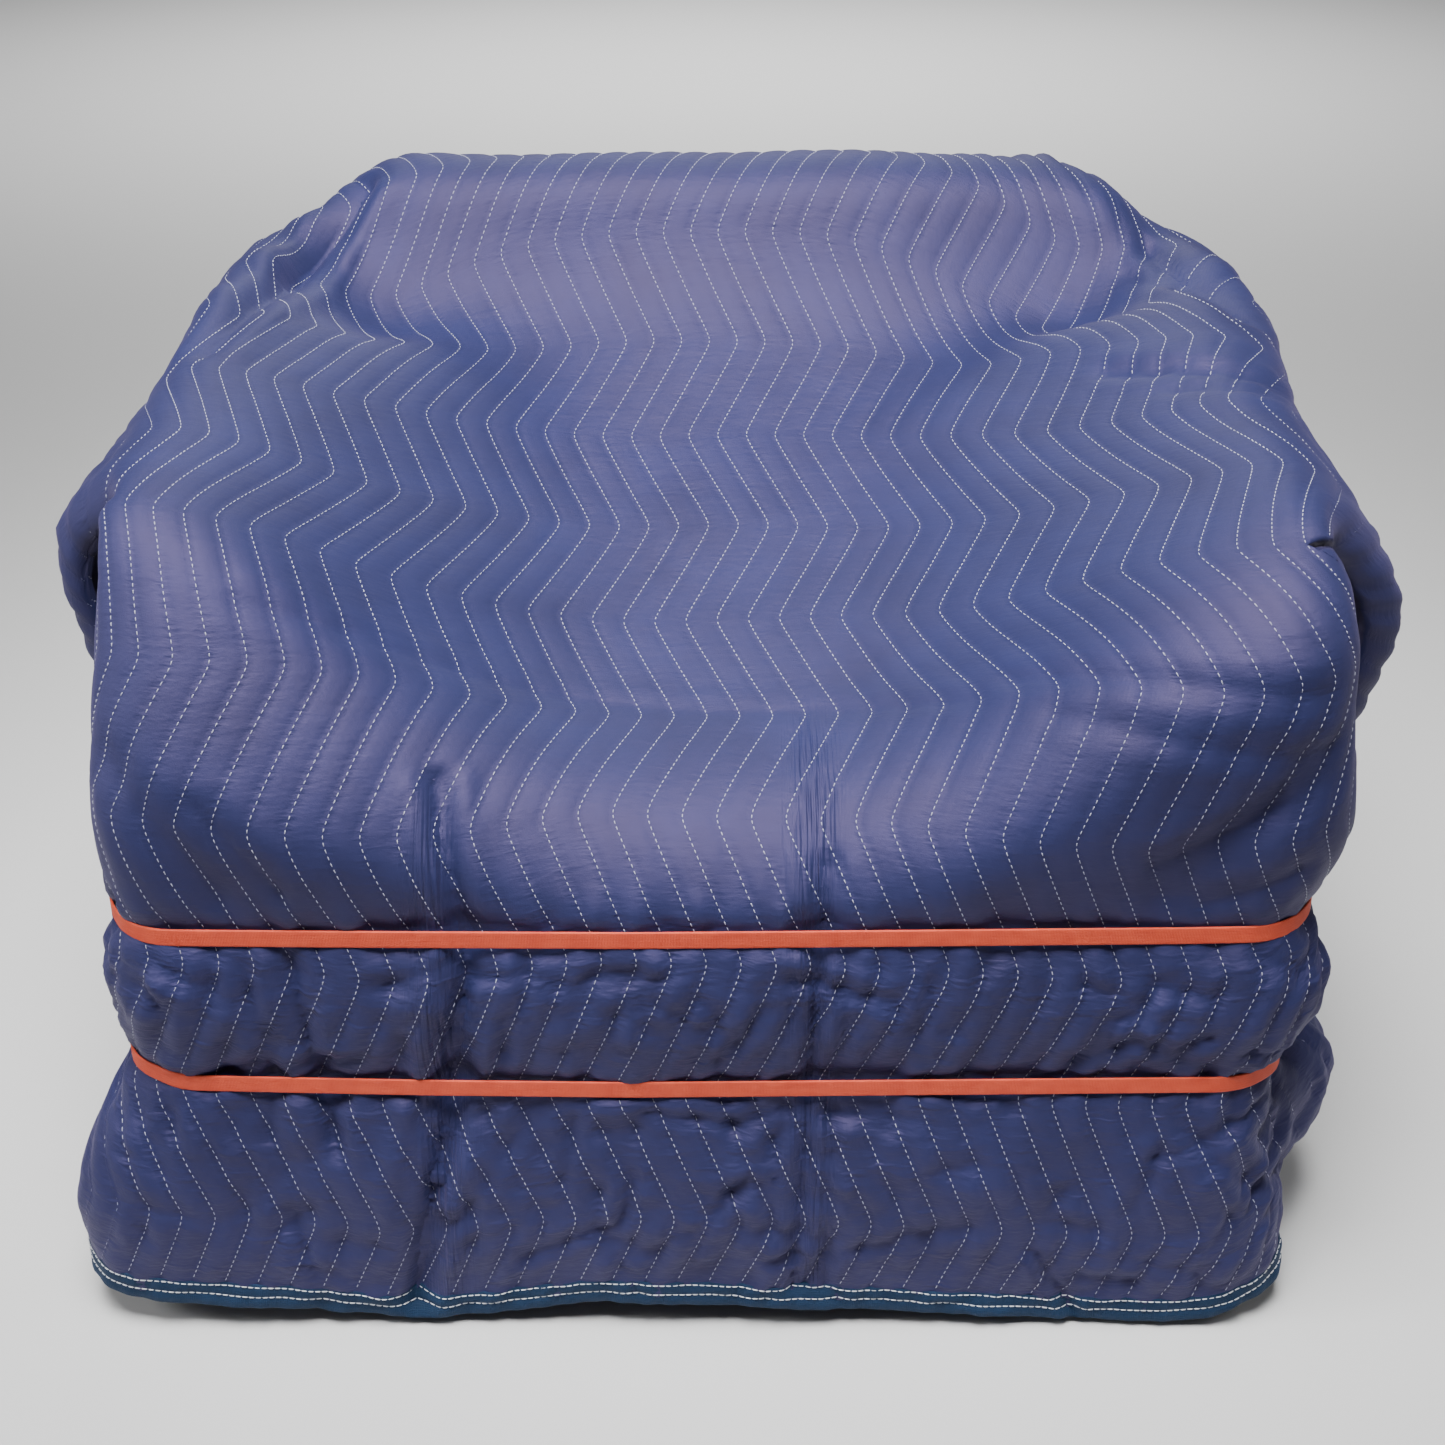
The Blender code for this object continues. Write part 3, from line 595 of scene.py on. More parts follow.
# Sharp creases: from u, v to u, v, depth, half-width
CREASES = (
    (-0.238, 0.010, -0.178, 0.330, 0.0160, 0.011),
    (-0.178, 0.330, -0.200, 0.470, 0.0100, 0.008),
    (-0.262, 0.030, -0.222, 0.200, 0.0045, 0.007),
    (-0.212, 0.120, -0.160, 0.300, 0.0040, 0.007),
    (-0.290, 0.150, -0.310, 0.330, 0.0090, 0.009),
    (-0.330, 0.200, -0.345, 0.320, 0.0040, 0.008),
    (0.062, 0.020, 0.083, 0.400, 0.0085, 0.008),
    (0.083, 0.400, 0.080, 0.470, 0.0030, 0.006),
    (0.044, 0.080, 0.062, 0.360, 0.0050, 0.006),
    (0.084, 0.050, 0.100, 0.330, 0.0050, 0.006),
    (-0.364, 0.448, -0.304, 0.376, 0.0045, 0.010),
    (0.408, 0.456, 0.312, 0.408, 0.0045, 0.010),
    (0.430, 0.400, 0.350, 0.372, 0.0040, 0.009),
    (-0.330, 1.240, -0.383, 1.160, 0.0170, 0.014),
    (-0.383, 1.160, -0.403, 1.084, 0.0170, 0.014),
    (-0.403, 1.084, -0.450, 0.900, 0.0110, 0.013),
    (0.430, 1.228, 0.481, 1.040, 0.0110, 0.012),
    (0.400, 1.190, 0.455, 1.110, 0.0050, 0.009),
    (0.337, 0.956, 0.490, 0.922, 0.0060, 0.009),
    (0.380, 0.918, 0.480, 0.900, 0.0045, 0.008),
    (0.216, 0.556, 0.424, 0.536, 0.0024, 0.008),
    (0.240, 0.520, 0.440, 0.490, 0.0022, 0.008),
    (-0.352, 0.584, -0.008, 0.546, 0.0018, 0.008),
    (-0.008, 0.546, 0.200, 0.540, 0.0018, 0.008),
)
SHORT_CREASES = 170


def short_creases():
    """Many short creases of a crumpled front face, always the same ones."""
    chance = np.random.default_rng(12)
    made = []
    for _ in range(SHORT_CREASES):
        u, v = chance.uniform(-0.50, 0.56), chance.uniform(0.03, 0.325)
        lean = chance.normal(0.0, 0.45) + (math.pi / 2 if chance.random() < 0.3 else 0.0)
        half = chance.uniform(0.012, 0.042)
        du, dv = half * math.sin(lean), half * math.cos(lean)
        deep, wide = chance.uniform(0.0018, 0.0055), chance.uniform(0.0045, 0.008)
        made.append((u - du, v - dv, u + du, v + dv, deep, wide))
    return made


def creases(u, v):
    """Depth of every sharp crease: steep on one side, easy on the other, with a low shoulder."""
    depth = np.zeros_like(u)
    for *ends, deep, wide in list(CREASES) + short_creases():
        inside, away = crease_line(u, v, ends, wide)
        slope = np.where(away > 0, 1.35 * wide, 0.55 * wide)
        cut = np.exp(-np.abs(away) / slope) - 0.35 * bell(np.abs(away) - 2.2 * wide, wide)
        depth = depth + deep * inside * cut
    return depth


print(len(CREASES), "creases placed by eye and", SHORT_CREASES, "short ones")

# %% Soft lumps where cloth is bunched
# u, v, half-width across and along, height
LUMPS = (
    (-0.412, 1.205, 0.024, 0.030, 0.009),
    (-0.440, 1.120, 0.022, 0.034, 0.011),
    (-0.462, 1.020, 0.022, 0.040, 0.007),
    (0.385, 1.262, 0.050, 0.045, 0.013),
    (0.470, 1.180, 0.024, 0.040, 0.007),
    (0.430, 0.880, 0.060, 0.022, 0.004),
    (0.420, 0.978, 0.060, 0.022, 0.004),
    (-0.255, 1.000, 0.060, 0.055, 0.011),
    (0.305, 1.040, 0.075, 0.055, 0.011),
)


def lumps(u, v):
    """Height of the soft lumps."""
    height = np.zeros_like(u)
    for u0, v0, wide, tall, high in LUMPS:
        height = height + high * np.exp(-(((u - u0) / wide) ** 2) - ((v - v0) / tall) ** 2)
    return height


print(len(LUMPS), "lumps, the highest", max(row[4] for row in LUMPS), "m")

# %% Gathers at the bands, crumpled and rippled cloth
GATHER_HEIGHT, GATHER_REACH = 0.0042, 0.030
GROOVE_DEPTH, GROOVE_WIDTH = 0.0030, 0.012
CRUMPLE_WIDE, CRUMPLE_SMALL, CRUMPLE_UPRIGHT = 0.0020, 0.0016, 0.0022
RIPPLE_HEIGHT = 0.0028


def band_distance(level, point):
    """Height of a point above a band's middle line."""
    return point[..., 2] - level - BAND_SLOPE * point[..., 1]


def can_be_banded(u, v):
    """True on the front, the back and the side panels, and False on the top."""
    return (v < 0.50) | (v > SLIT_BACK) | (np.abs(u) > CREST_U + 0.05)


def gathers(u, v, point):
    """The short folds on both sides of a band, and the groove that it pulls in."""
    height = np.zeros_like(u)
    folds = swell(u, 0.18 * v, 0.018, 3) + 0.6 * swell(u, 0.25 * v, 0.010, 4)
    for _, level in BANDS:
        away = band_distance(level, point)
        fading = np.exp(-np.abs(away) / GATHER_REACH) * (1.0 - 0.8 * bell(away, 0.008))
        height = height + GATHER_HEIGHT * folds * fading
        height = height - GROOVE_DEPTH * bell(away, GROOVE_WIDTH)
    return height * can_be_banded(u, v)


def crumple(u, v):
    """Slack cloth: soft dents, stronger on the hanging cloth than on the stretched top."""
    slack = 1.0 - 0.85 * stretched(u, v)
    wide = swell(u + 0.3 * v, v, 0.052, 7)
    small = swell(u, v - 0.4 * u, 0.023, 8)
    upright = swell(u, 0.22 * v, 0.034, 10)
    return slack * (CRUMPLE_WIDE * wide + CRUMPLE_SMALL * small + CRUMPLE_UPRIGHT * upright)


def ripples(u, v):
    """Small wrinkles across the strips between stitch lines, in patches of slack cloth."""
    patch = ease(0.45 + 0.9 * swell(u, v, 0.10, 13))
    waves = swell(0.5 * (u - zigzag(v)), v, 0.0115, 9)
    return RIPPLE_HEIGHT * waves * patch * halfway(u, v) * (1.0 - 0.9 * stretched(u, v))


def bend(u, v, point):
    """How far the whole thickness of the cloth stands off its middle surface."""
    return gathers(u, v, point) + crumple(u, v) + ripples(u, v) + lumps(u, v) - creases(u, v)


print("gathers reach", GATHER_REACH, "m from a band; the groove is", GROOVE_DEPTH, "m deep")

# %% [markdown]
# ## The cloth as one closed piece
#
# The cloth is a lattice of rows along v and columns that follow the zigzag. As far out as the top
# of each arm, each stitch line runs along a column of vertices, so its dip stays sharp. On the
# wraps and side panels the columns are spread evenly out to the edge instead. Where a stitch line
# passes between two of them, the face hides its thread, as it does on most of a side panel. The
# outer face is fine and the inner face, which only shows from below, has fewer columns. A rim
# joins them. The corner squares are left out, so each corner has a slit: a wrap goes round the
# corner underneath, and a side panel hangs over it.


# %% Rows and columns
# The body has FINE columns to a stitch line. BODY, WRAP and SIDE are the last columns of the body,
# of a wrap and of a side panel. UNDER_TAPE is how far the cloth reaches in under its tape.
FINE = 5
ROW_STEPS = (HALF_WAVE / 26, HALF_WAVE / 14, HALF_WAVE / 12)
BODY = 18 * FINE
WRAP = BODY + 26
SIDE = 40 * FINE
UNDER_TAPE = 0.012
EDGES = (TAPE_WIDTH - UNDER_TAPE, SLIT_FRONT, SLIT_BACK, LENGTH - TAPE_WIDTH + UNDER_TAPE)


def row_values():
    """v of every row: close together on the crumpled front, wider apart on the top and back."""
    rows = []
    for low, high, step in zip(EDGES, EDGES[1:], ROW_STEPS):
        count = round((high - low) / step)
        rows += [low + (high - low) * i / count for i in range(count)]
    return rows + [EDGES[-1]]


ROWS = row_values()
FRONT_ROW, BACK_ROW = ROWS.index(SLIT_FRONT), ROWS.index(SLIT_BACK)
print(len(ROWS), "rows; slits at rows", FRONT_ROW, "and", BACK_ROW)


def wrap_limit(side, v):
    """How far across the cloth reaches at v where it wraps round a corner under a side panel."""
    if v <= SLIT_FRONT:
        reach, room = (LEFT_WRAP_U if side < 0 else RIGHT_WRAP_U), SLIT_FRONT - v
    else:
        reach, room = BACK_WRAP_U, v - SLIT_BACK
    return min(reach + UNDER_TAPE, CREST_U + side * float(zigzag(v)) + 0.022 + 0.3 * room)


def column_u(layer, k, v):
    """Distance across of column k at v. Columns follow the zigzag that all stitch lines share."""
    side = -1 if k < 0 else 1
    shift = float(zigzag(v))
    if abs(k) <= BODY:
        return k * PITCH / FINE + shift
    root = side * CREST_U + shift
    if layer == "wrap":
        return root + (side * wrap_limit(side, v) - root) * (abs(k) - BODY) / (WRAP - BODY)
    edge = WIDTH / 2 - TAPE_WIDTH + UNDER_TAPE
    share = (abs(k) - BODY) / (SIDE - BODY)
    plain = side * (CREST_U + (edge - CREST_U) * share)
    return plain + shift * min(1.0, 8.0 * (1.0 - share))


# %% The lattice's vertices and faces
class Cloth:
    """Collects the vertices and faces of the closed cloth."""

    def __init__(self):
        self.known, self.stations, self.faces = {}, [], []

    def vertex(self, layer, k, row, outer):
        """Index of a vertex. Its place is worked out later, for all vertices at once."""
        key = ("body" if abs(k) <= BODY else layer, k, row, outer)
        if key not in self.known:
            v = ROWS[row]
            u = column_u(layer, k, v)
            notch = max(0.0, abs(u - float(zigzag(v))) - CREST_U)
            if row in (FRONT_ROW, BACK_ROW):
                way = 1 if row == FRONT_ROW else -1
                cut_back = min(PANEL_NOTCH, 0.3 * notch)
                v += way * (-min(WRAP_NOTCH, notch) if layer == "wrap" else cut_back)
            self.known[key] = len(self.stations)
            self.stations.append((u, v, layer == "side", outer))
        return self.known[key]

    def columns(self, layer, outer):
        """Columns of a face, left to right. The inner face has every fifth."""
        reach = WRAP if layer == "wrap" else SIDE
        if outer:
            return list(range(-reach, reach + 1))
        half = list(range(0, BODY, FINE)) + list(range(BODY, reach, FINE)) + [reach]
        return [-k for k in reversed(half[1:])] + half

    def ring(self, layer, row, outer):
        """Gives the vertices of a row between two columns."""
        ks = self.columns(layer, outer)
        return lambda a, b: [self.vertex(layer, k, row, outer) for k in ks if a <= k <= b]

    def strip(self, ks, ring_a, ring_b, flip):
        """Faces between two rows. ks names the few columns; a ring may hold more between them."""
        for a, b in zip(ks, ks[1:]):
            run_a, run_b = ring_a(a, b), ring_b(a, b)
            if len(run_a) == len(run_b):
                pairs = range(len(run_a) - 1)
                found = [[run_a[i], run_a[i + 1], run_b[i + 1], run_b[i]] for i in pairs]
            else:
                few, many = (run_a, run_b) if len(run_a) < len(run_b) else (run_b, run_a)
                half = len(many) // 2
                found = [[few[0], many[i + 1], many[i]] for i in range(half)]
                found += [[few[-1], many[i + 1], many[i]] for i in range(half, len(many) - 1)]
                found.append([few[0], few[-1], many[half]])
                if few is run_b:
                    found = [f[::-1] for f in found]
            self.faces.extend(f[::-1] if flip else f for f in found)

    def face_rows(self, layer, rows):
        """Outer and inner faces of a stretch of rows."""
        for row in rows:
            for outer in (True, False):
                ks = self.columns(layer, outer)
                low = [self.vertex(layer, k, row, outer) for k in ks]
                high = [self.vertex(layer, k, row + 1, outer) for k in ks]
                quads = [[low[i], low[i + 1], high[i + 1], high[i]] for i in range(len(ks) - 1)]
                self.faces.extend(quads if outer else [q[::-1] for q in quads])

    def rim_row(self, layer, row, first, last, upper):
        """The rim that closes the cloth along a row, between two columns."""
        ks = [k for k in self.columns(layer, False) if first <= k <= last]
        self.strip(ks, self.ring(layer, row, False), self.ring(layer, row, True), upper)

    def rim_column(self, layer, k, rows):
        """The rim that closes the cloth along an end column."""
        for row in rows:
            low = [self.vertex(layer, k, row, True), self.vertex(layer, k, row, False)]
            high = [self.vertex(layer, k, row + 1, False), self.vertex(layer, k, row + 1, True)]
            quad = low + high
            self.faces.append(quad if k > 0 else quad[::-1])

    def build(self):
        """All faces: three stretches of rows, and a rim round every free edge."""
        last = len(ROWS) - 1
        self.face_rows("wrap", range(0, FRONT_ROW))
        self.face_rows("side", range(FRONT_ROW, BACK_ROW))
        self.face_rows("wrap", range(BACK_ROW, last))
        self.rim_row("wrap", 0, -WRAP, WRAP, False)
        self.rim_row("wrap", last, -WRAP, WRAP, True)
        for ends in ((BODY, WRAP), (-WRAP, -BODY)):
            self.rim_row("wrap", FRONT_ROW, *ends, True)
            self.rim_row("wrap", BACK_ROW, *ends, False)
        for ends in ((BODY, SIDE), (-SIDE, -BODY)):
            self.rim_row("side", FRONT_ROW, *ends, False)
            self.rim_row("side", BACK_ROW, *ends, True)
        for k in (-WRAP, WRAP):
            self.rim_column("wrap", k, range(0, FRONT_ROW))
            self.rim_column("wrap", k, range(BACK_ROW, last))
        for k in (-SIDE, SIDE):
            self.rim_column("side", k, range(FRONT_ROW, BACK_ROW))


# %% Points on the cloth's faces
CURL_DEPTH, CURL_WIDTH = 0.028, 0.065


def curl(u, v, side, point):
    """How far the front edge of a side panel turns in round the front of an arm."""
    near_edge = ease((SLIT_FRONT + CURL_WIDTH - v) / CURL_WIDTH)
    below_root = ease((np.abs(u) - CREST_U - 0.004) / 0.035)
    above_band = ease((point[..., 2] - BANDS[0][1] - 0.03) / 0.07)
    return CURL_DEPTH * ease(side / 0.6) * near_edge * below_root * above_band


def squeeze(u, v, point):
    """How much of the puff a band leaves: a quarter under it."""
    left = np.ones_like(u)
    reached = can_be_banded(u, v)
    for _, level in BANDS:
        left = left * (1.0 - 0.75 * bell(band_distance(level, point), 0.014) * reached)
    return left


def outer_points(u, v, side, lift=0.0):
    """Points on the cloth's outer face, lift above it, with their normals."""
    u, v, side = (np.asarray(x, float) for x in np.broadcast_arrays(u, v, side))
    point, normal = surface.at(u, v, side)
    height = bend(u, v, point) - curl(u, v, side, point) + CLOTH / 2
    height = height + puff(u, v) * squeeze(u, v, point) + lift
    return point + normal * height[..., None], normal


def inner_points(u, v, side):
    """Points on the cloth's inner face."""
    point, normal = surface.at(u, v, side)
    height = bend(u, v, point) - curl(u, v, side, point) - CLOTH / 2
    return point + normal * height[..., None]


def under_points(u, v, side):
    """Points just under the inner face, with normals that point into the hollow."""
    _, normal = surface.at(u, v, side)
    return inner_points(u, v, np.asarray(side, float)) - normal * 0.0004, -normal


middle_of_seat = outer_points(0.0, 0.80, 0)[0]
print("middle of the seat, in the part's frame:", (middle_of_seat - ORIGIN).round(3))


# %% Place the vertices
def add_piece(name, points, faces, uvs=None):
    """A mesh object in the part's frame. uvs gives u, v of each vertex for the materials."""
    mesh = bpy.data.meshes.new(name)
    mesh.from_pydata((np.asarray(points) - ORIGIN).tolist(), [], faces)
    if uvs is not None:
        layer = mesh.uv_layers.new(name="flat")
        corner_of = np.zeros(len(mesh.loops), dtype=np.int32)
        mesh.loops.foreach_get("vertex_index", corner_of)
        layer.data.foreach_set("uv", np.asarray(uvs, dtype=np.float32)[corner_of].ravel())
    mesh.shade_smooth()
    obj = bpy.data.objects.new(name, mesh)
    bpy.context.scene.collection.objects.link(obj)
    print(name, len(mesh.vertices), "vertices", len(mesh.polygons), "faces")
    return obj


lattice = Cloth()
lattice.build()
station = np.array(lattice.stations, float)
is_outer = station[:, 3] > 0.5
places = np.zeros((len(station), 3))
places[is_outer] = outer_points(*station[is_outer, :3].T)[0]
places[~is_outer] = inner_points(*station[~is_outer, :3].T)
blanket = add_piece("quilted_cloth_dressed", places, lattice.faces, station[:, :2])

# %% [markdown]
# ## The quilting stitches
#
# The thread shows as short pale dashes, one about every 4.7 mm. A painted dash would do from afar,
# but thread catches light and casts a small shadow, so each stitch here is a tiny raised grain of
# six faces, laid along its line with its two ends sunk in the cloth. The side panels have their
# stitches on the inner face too, near the front slits, where one looks in behind them.

# %% One grain of thread for each stitch
STITCH = 0.0047
STITCH_SHOWN = 0.68
STITCH_WIDTH, STITCH_HEIGHT = 0.0007, 0.0005
SUNK = 0.0004


def stitch_mesh(name, starts, ends, normals, width, height):
    """Raised grains from starts to ends, as one piece."""
    along = ends - starts
    across = np.cross(normals, along)
    across = across / np.maximum(np.linalg.norm(across, axis=-1, keepdims=True), 1e-9)
    rings = [starts - normals * SUNK]
    for share in (0.22, 0.78):
        middle = starts + along * share
        rings.append(middle - across * width / 2)
        rings.append(middle + normals * height)
        rings.append(middle + across * width / 2)
    rings.append(ends - normals * SUNK)
    points = np.stack(rings, 1).reshape(-1, 3)
    grain = ((0, 2, 1), (0, 3, 2), (1, 2, 5, 4), (2, 3, 6, 5), (4, 5, 7), (5, 6, 7))
    faces = [tuple(8 * i + c for c in face) for i in range(len(starts)) for face in grain]
    return add_piece(name, points, faces)


print("stitches", STITCH, "m apart, thread", STITCH_WIDTH, "m wide")


# %% Stitches along lines
def quilt_stitches(name, lines, low, high, side, reach, inside=False):
    """Stitches on numbered lines, between two values of v, on the outer face or the inner."""
    u_from, v_from, v_to = [], [], []
    for k in lines:
        count = int((high - low) / STITCH)
        v = low + STITCH * (np.arange(count) + 0.13 * (k % 5))
        keep = np.array([abs(k * PITCH + zigzag(a)) < reach(1 if k > 0 else -1, a) for a in v])
        v = v[keep]
        u_from += [k * PITCH] * len(v)
        v_from += list(v)
        v_to += list(v + STITCH * STITCH_SHOWN)
    base, start, end = np.array(u_from), np.array(v_from), np.array(v_to)
    if inside:
        first, normal = under_points(base + zigzag(start), start, side)
        last, _ = under_points(base + zigzag(end), end, side)
    else:
        first, normal = outer_points(base + zigzag(start), start, side, 0.0002)
        last, _ = outer_points(base + zigzag(end), end, side, 0.0002)
    return stitch_mesh(name, first, last, normal, STITCH_WIDTH, STITCH_HEIGHT)


def wrap_reach(side, v):
    """How far across a stitch line still lies on a wrap."""
    return wrap_limit(side, v) - 0.004


def side_reach(side, v):
    """How far across a stitch line still lies on a side panel."""
    return WIDTH / 2 - TAPE_WIDTH


# %% Quilt the blanket
LEFT_LINES, RIGHT_LINES = range(-39, -18), range(19, 40)
FROM_HEM, TO_HEM = TAPE_WIDTH + 0.004, LENGTH - (TAPE_WIDTH + 0.004)
PANEL_FROM, PANEL_TO = SLIT_FRONT + 0.006, SLIT_BACK - 0.006
SEEN_INSIDE = 0.72
threads = [
    quilt_stitches("front_stitches", range(-22, 24), FROM_HEM, SLIT_FRONT, 0, wrap_reach),
    quilt_stitches("top_stitches", range(-18, 19), SLIT_FRONT, SLIT_BACK, 1, side_reach),
    quilt_stitches("left_stitches", LEFT_LINES, PANEL_FROM, PANEL_TO, 1, side_reach),
    quilt_stitches("right_stitches", RIGHT_LINES, PANEL_FROM, PANEL_TO, 1, side_reach),
    quilt_stitches("back_stitches", range(-22, 23), SLIT_BACK, TO_HEM, 0, wrap_reach),
]
for name, lines in (("left_inside_stitches", LEFT_LINES), ("right_inside_stitches", RIGHT_LINES)):
    threads.append(quilt_stitches(name, lines, PANEL_FROM, SEEN_INSIDE, 1, side_reach, True))

# %% [markdown]
# ## The binding tape
#
# A tape is folded over the raw edge and sewn down with two rows of stitches, about 13 and 22 mm
# from the edge. It is lofted here from a curved section: flat beside the inner row, raised
# between the two, and rolled over the edge. The section follows the cloth, so the tape waves
# with the hem.

# %% Section of the tape
# Distance out from the tape's inner line, height over the cloth's middle surface
TAPE_SECTION = (
    (-0.0025, 0.0026),
    (-0.0020, 0.0036),
    (0.0000, 0.0034),
    (0.0015, 0.0040),
    (0.0050, 0.0042),
    (0.0078, 0.0038),
    (0.0090, 0.0032),
    (0.0102, 0.0038),
    (0.0140, 0.0046),
    (0.0180, 0.0044),
    (0.0205, 0.0034),
    (0.0220, 0.0018),
    (0.0224, 0.0000),
    (0.0218, -0.0018),
    (0.0195, -0.0034),
    (0.0100, -0.0036),
    (0.0000, -0.0034),
    (-0.0025, -0.0027),
)
OUTER_ROW, INNER_ROW = 0.0090, 0.0000
TAPE_STEP = 0.004
TAPE_STITCH, TAPE_STITCH_SHOWN = 0.0052, 0.95
TAPE_STITCH_WIDTH, TAPE_STITCH_HEIGHT = 0.0013, 0.0007
ON_TAPE = 0.0037
print("tape section of", len(TAPE_SECTION), "points, rows at", OUTER_ROW, "and", INNER_ROW)


# %% Paths and lofts
def spaced(path, gap):
    """A path of u, v, way out across, way out along, with points about gap apart."""
    path = np.array(path, float)
    moved = np.hypot(*(path[1:, :2] - path[:-1, :2]).T)
    swung = np.hypot(*(path[1:, 2:] - path[:-1, 2:]).T)
    run = np.concatenate([[0.0], np.cumsum(moved + 0.02 * swung)])
    at = np.linspace(0.0, run[-1], max(2, int(run[-1] / gap)))
    return np.stack([np.interp(at, run, path[:, i]) for i in range(4)], 1)


def turned(u, v, start, end, steps=10):
    """A rounded corner: the way out turns from one bearing to another, in degrees."""
    bearings = np.radians(np.linspace(start, end, steps + 1))
    return [(u, v, math.cos(b), math.sin(b)) for b in bearings]


def loft_faces(rings, corners, closed):
    """Faces between neighbouring rings of corners. A closed loft ends where it starts."""
    faces = []
    for i in range(rings if closed else rings - 1):
        j = (i + 1) % rings
        for c in range(corners):
            d = (c + 1) % corners
            a, b = i * corners + c, i * corners + d
            ahead_a, ahead_b = j * corners + c, j * corners + d
            faces.append((a, ahead_a, ahead_b, b) if closed else (a, b, ahead_b, ahead_a))
    return faces


print("a corner of the tape turns in", len(turned(0.0, 0.0, 180.0, 270.0)) - 1, "steps")


# %% A tape and its stitches
def tape(name, path, side):
    """The tape along a path, and the two rows of stitches on it."""
    path = spaced(path, TAPE_STEP)
    u, v, du, dv = path.T
    run = np.arange(len(u)) * TAPE_STEP
    ruffle = 1.0 + 0.10 * np.sin(run * 310.0) + 0.14 * swell(run, 0 * run, 0.013, 21)
    rings = []
    for out, height in TAPE_SECTION:
        point, normal = surface.at(u + du * out, v + dv * out, side)
        lift = bend(u + du * out, v + dv * out, point)
        height = height * np.where(abs(out - OUTER_ROW) < 0.001, 1.0, ruffle)
        rings.append(point + normal * (lift + height)[:, None])
    points = np.stack(rings, 1)
    count, many = points.shape[:2]
    faces = loft_faces(count, many, False)
    faces.append(tuple(range(many))[::-1])
    faces.append(tuple((count - 1) * many + c for c in range(many)))
    across = np.tile(column(TAPE_SECTION, 0), count)
    flat = np.stack([np.repeat(run, many), across], 1)
    obj = add_piece(name, points.reshape(-1, 3), faces, flat)
    rows = (("_outer_row", OUTER_ROW), ("_inner_row", INNER_ROW))
    return [obj] + [tape_stitches(name + tag, path, side, out) for tag, out in rows]


def tape_stitches(name, path, side, out):
    """One row of machine stitches along a tape."""
    fine = spaced(path, TAPE_STITCH)
    here, ahead = fine[:-1], fine[1:]
    ends = []
    for share in (0.0, TAPE_STITCH_SHOWN):
        u, v, du, dv = (here + (ahead - here) * share).T
        point, normal = surface.at(u + du * out, v + dv * out, side)
        lift = bend(u + du * out, v + dv * out, point) + ON_TAPE
        ends.append(point + normal * lift[:, None])
    return stitch_mesh(name, *ends, normal, TAPE_STITCH_WIDTH, TAPE_STITCH_HEIGHT)


# %% Sew the tapes on
def front_tape_path():
    """Down the left end of the front flap, along the front hem and up the right end."""
    low, high, left, right = TAPE_WIDTH, 0.43, -LEFT_WRAP_U, RIGHT_WRAP_U
    path = [(left, high, -1.0, 0.0), (left, low, -1.0, 0.0)]
    path += turned(left, low, 180.0, 270.0)
    path += turned(right, low, 270.0, 360.0)
    return path + [(right, low, 1.0, 0.0), (right, high, 1.0, 0.0)]


def side_tape_path(side):
    """Along the hem of a side panel."""
    edge = side * (WIDTH / 2 - TAPE_WIDTH)
    ends = [SLIT_FRONT + PANEL_NOTCH, SLIT_BACK - PANEL_NOTCH]
    return [(edge, v, float(side), 0.0) for v in (ends if side > 0 else ends[::-1])]


def back_tape_path():
    """Along the hem behind, from right to left."""
    high = LENGTH - TAPE_WIDTH
    return [(BACK_WRAP_U, high, 0.0, 1.0), (-BACK_WRAP_U, high, 0.0, 1.0)]


tapes = {
    "front_binding": tape("front_tape", front_tape_path(), 0),
    "left_binding": tape("left_tape", side_tape_path(-1), 1),
    "right_binding": tape("right_tape", side_tape_path(1), 1),
    "back_binding": tape("back_tape", back_tape_path(), 0),
}

# %% [markdown]
# ## The elastic bands
#
# A taut band touches only what stands proud, and runs straight between. Its path is therefore the
# convex outline of all the cloth at its height, a curve that a simple hull gives. The
# band itself is woven elastic with fine ribs along its length.


# %% The taut path of a band
def hull(points):
    """The convex outline round points in a plane, anticlockwise."""
    ordered = sorted({(round(float(x), 5), round(float(y), 5)) for x, y in points})

    def half(run):
        kept = []
        for p in run:
            while len(kept) > 1:
                (ax, ay), (bx, by) = kept[-2], kept[-1]
                if (bx - ax) * (p[1] - ay) - (by - ay) * (p[0] - ax) > 0:
                    break
                kept.pop()
            kept.append(p)
        return kept[:-1]

    return np.array(half(ordered) + half(ordered[::-1]))


square = [(0, 0), (1, 0), (1, 1), (0, 1), (0.5, 0.5)]
print("hull of a square and its middle:", len(hull(square)), "points")


# %% A ribbed band along it
RIBS = 13
RIB_TOP, RIB_DIP = 0.00018, -0.00012
BAND_STEP = 0.006
BAND_SECTION = (
    [(-0.5, 0.0002), (-0.5, 0.0012)]
    + [
        (-0.46 + 0.92 * i / (RIBS - 1), BAND_THICK + (RIB_TOP if i % 2 else RIB_DIP))
        for i in range(RIBS)
    ]
    + [(0.5, 0.0012), (0.5, 0.0002)]
)


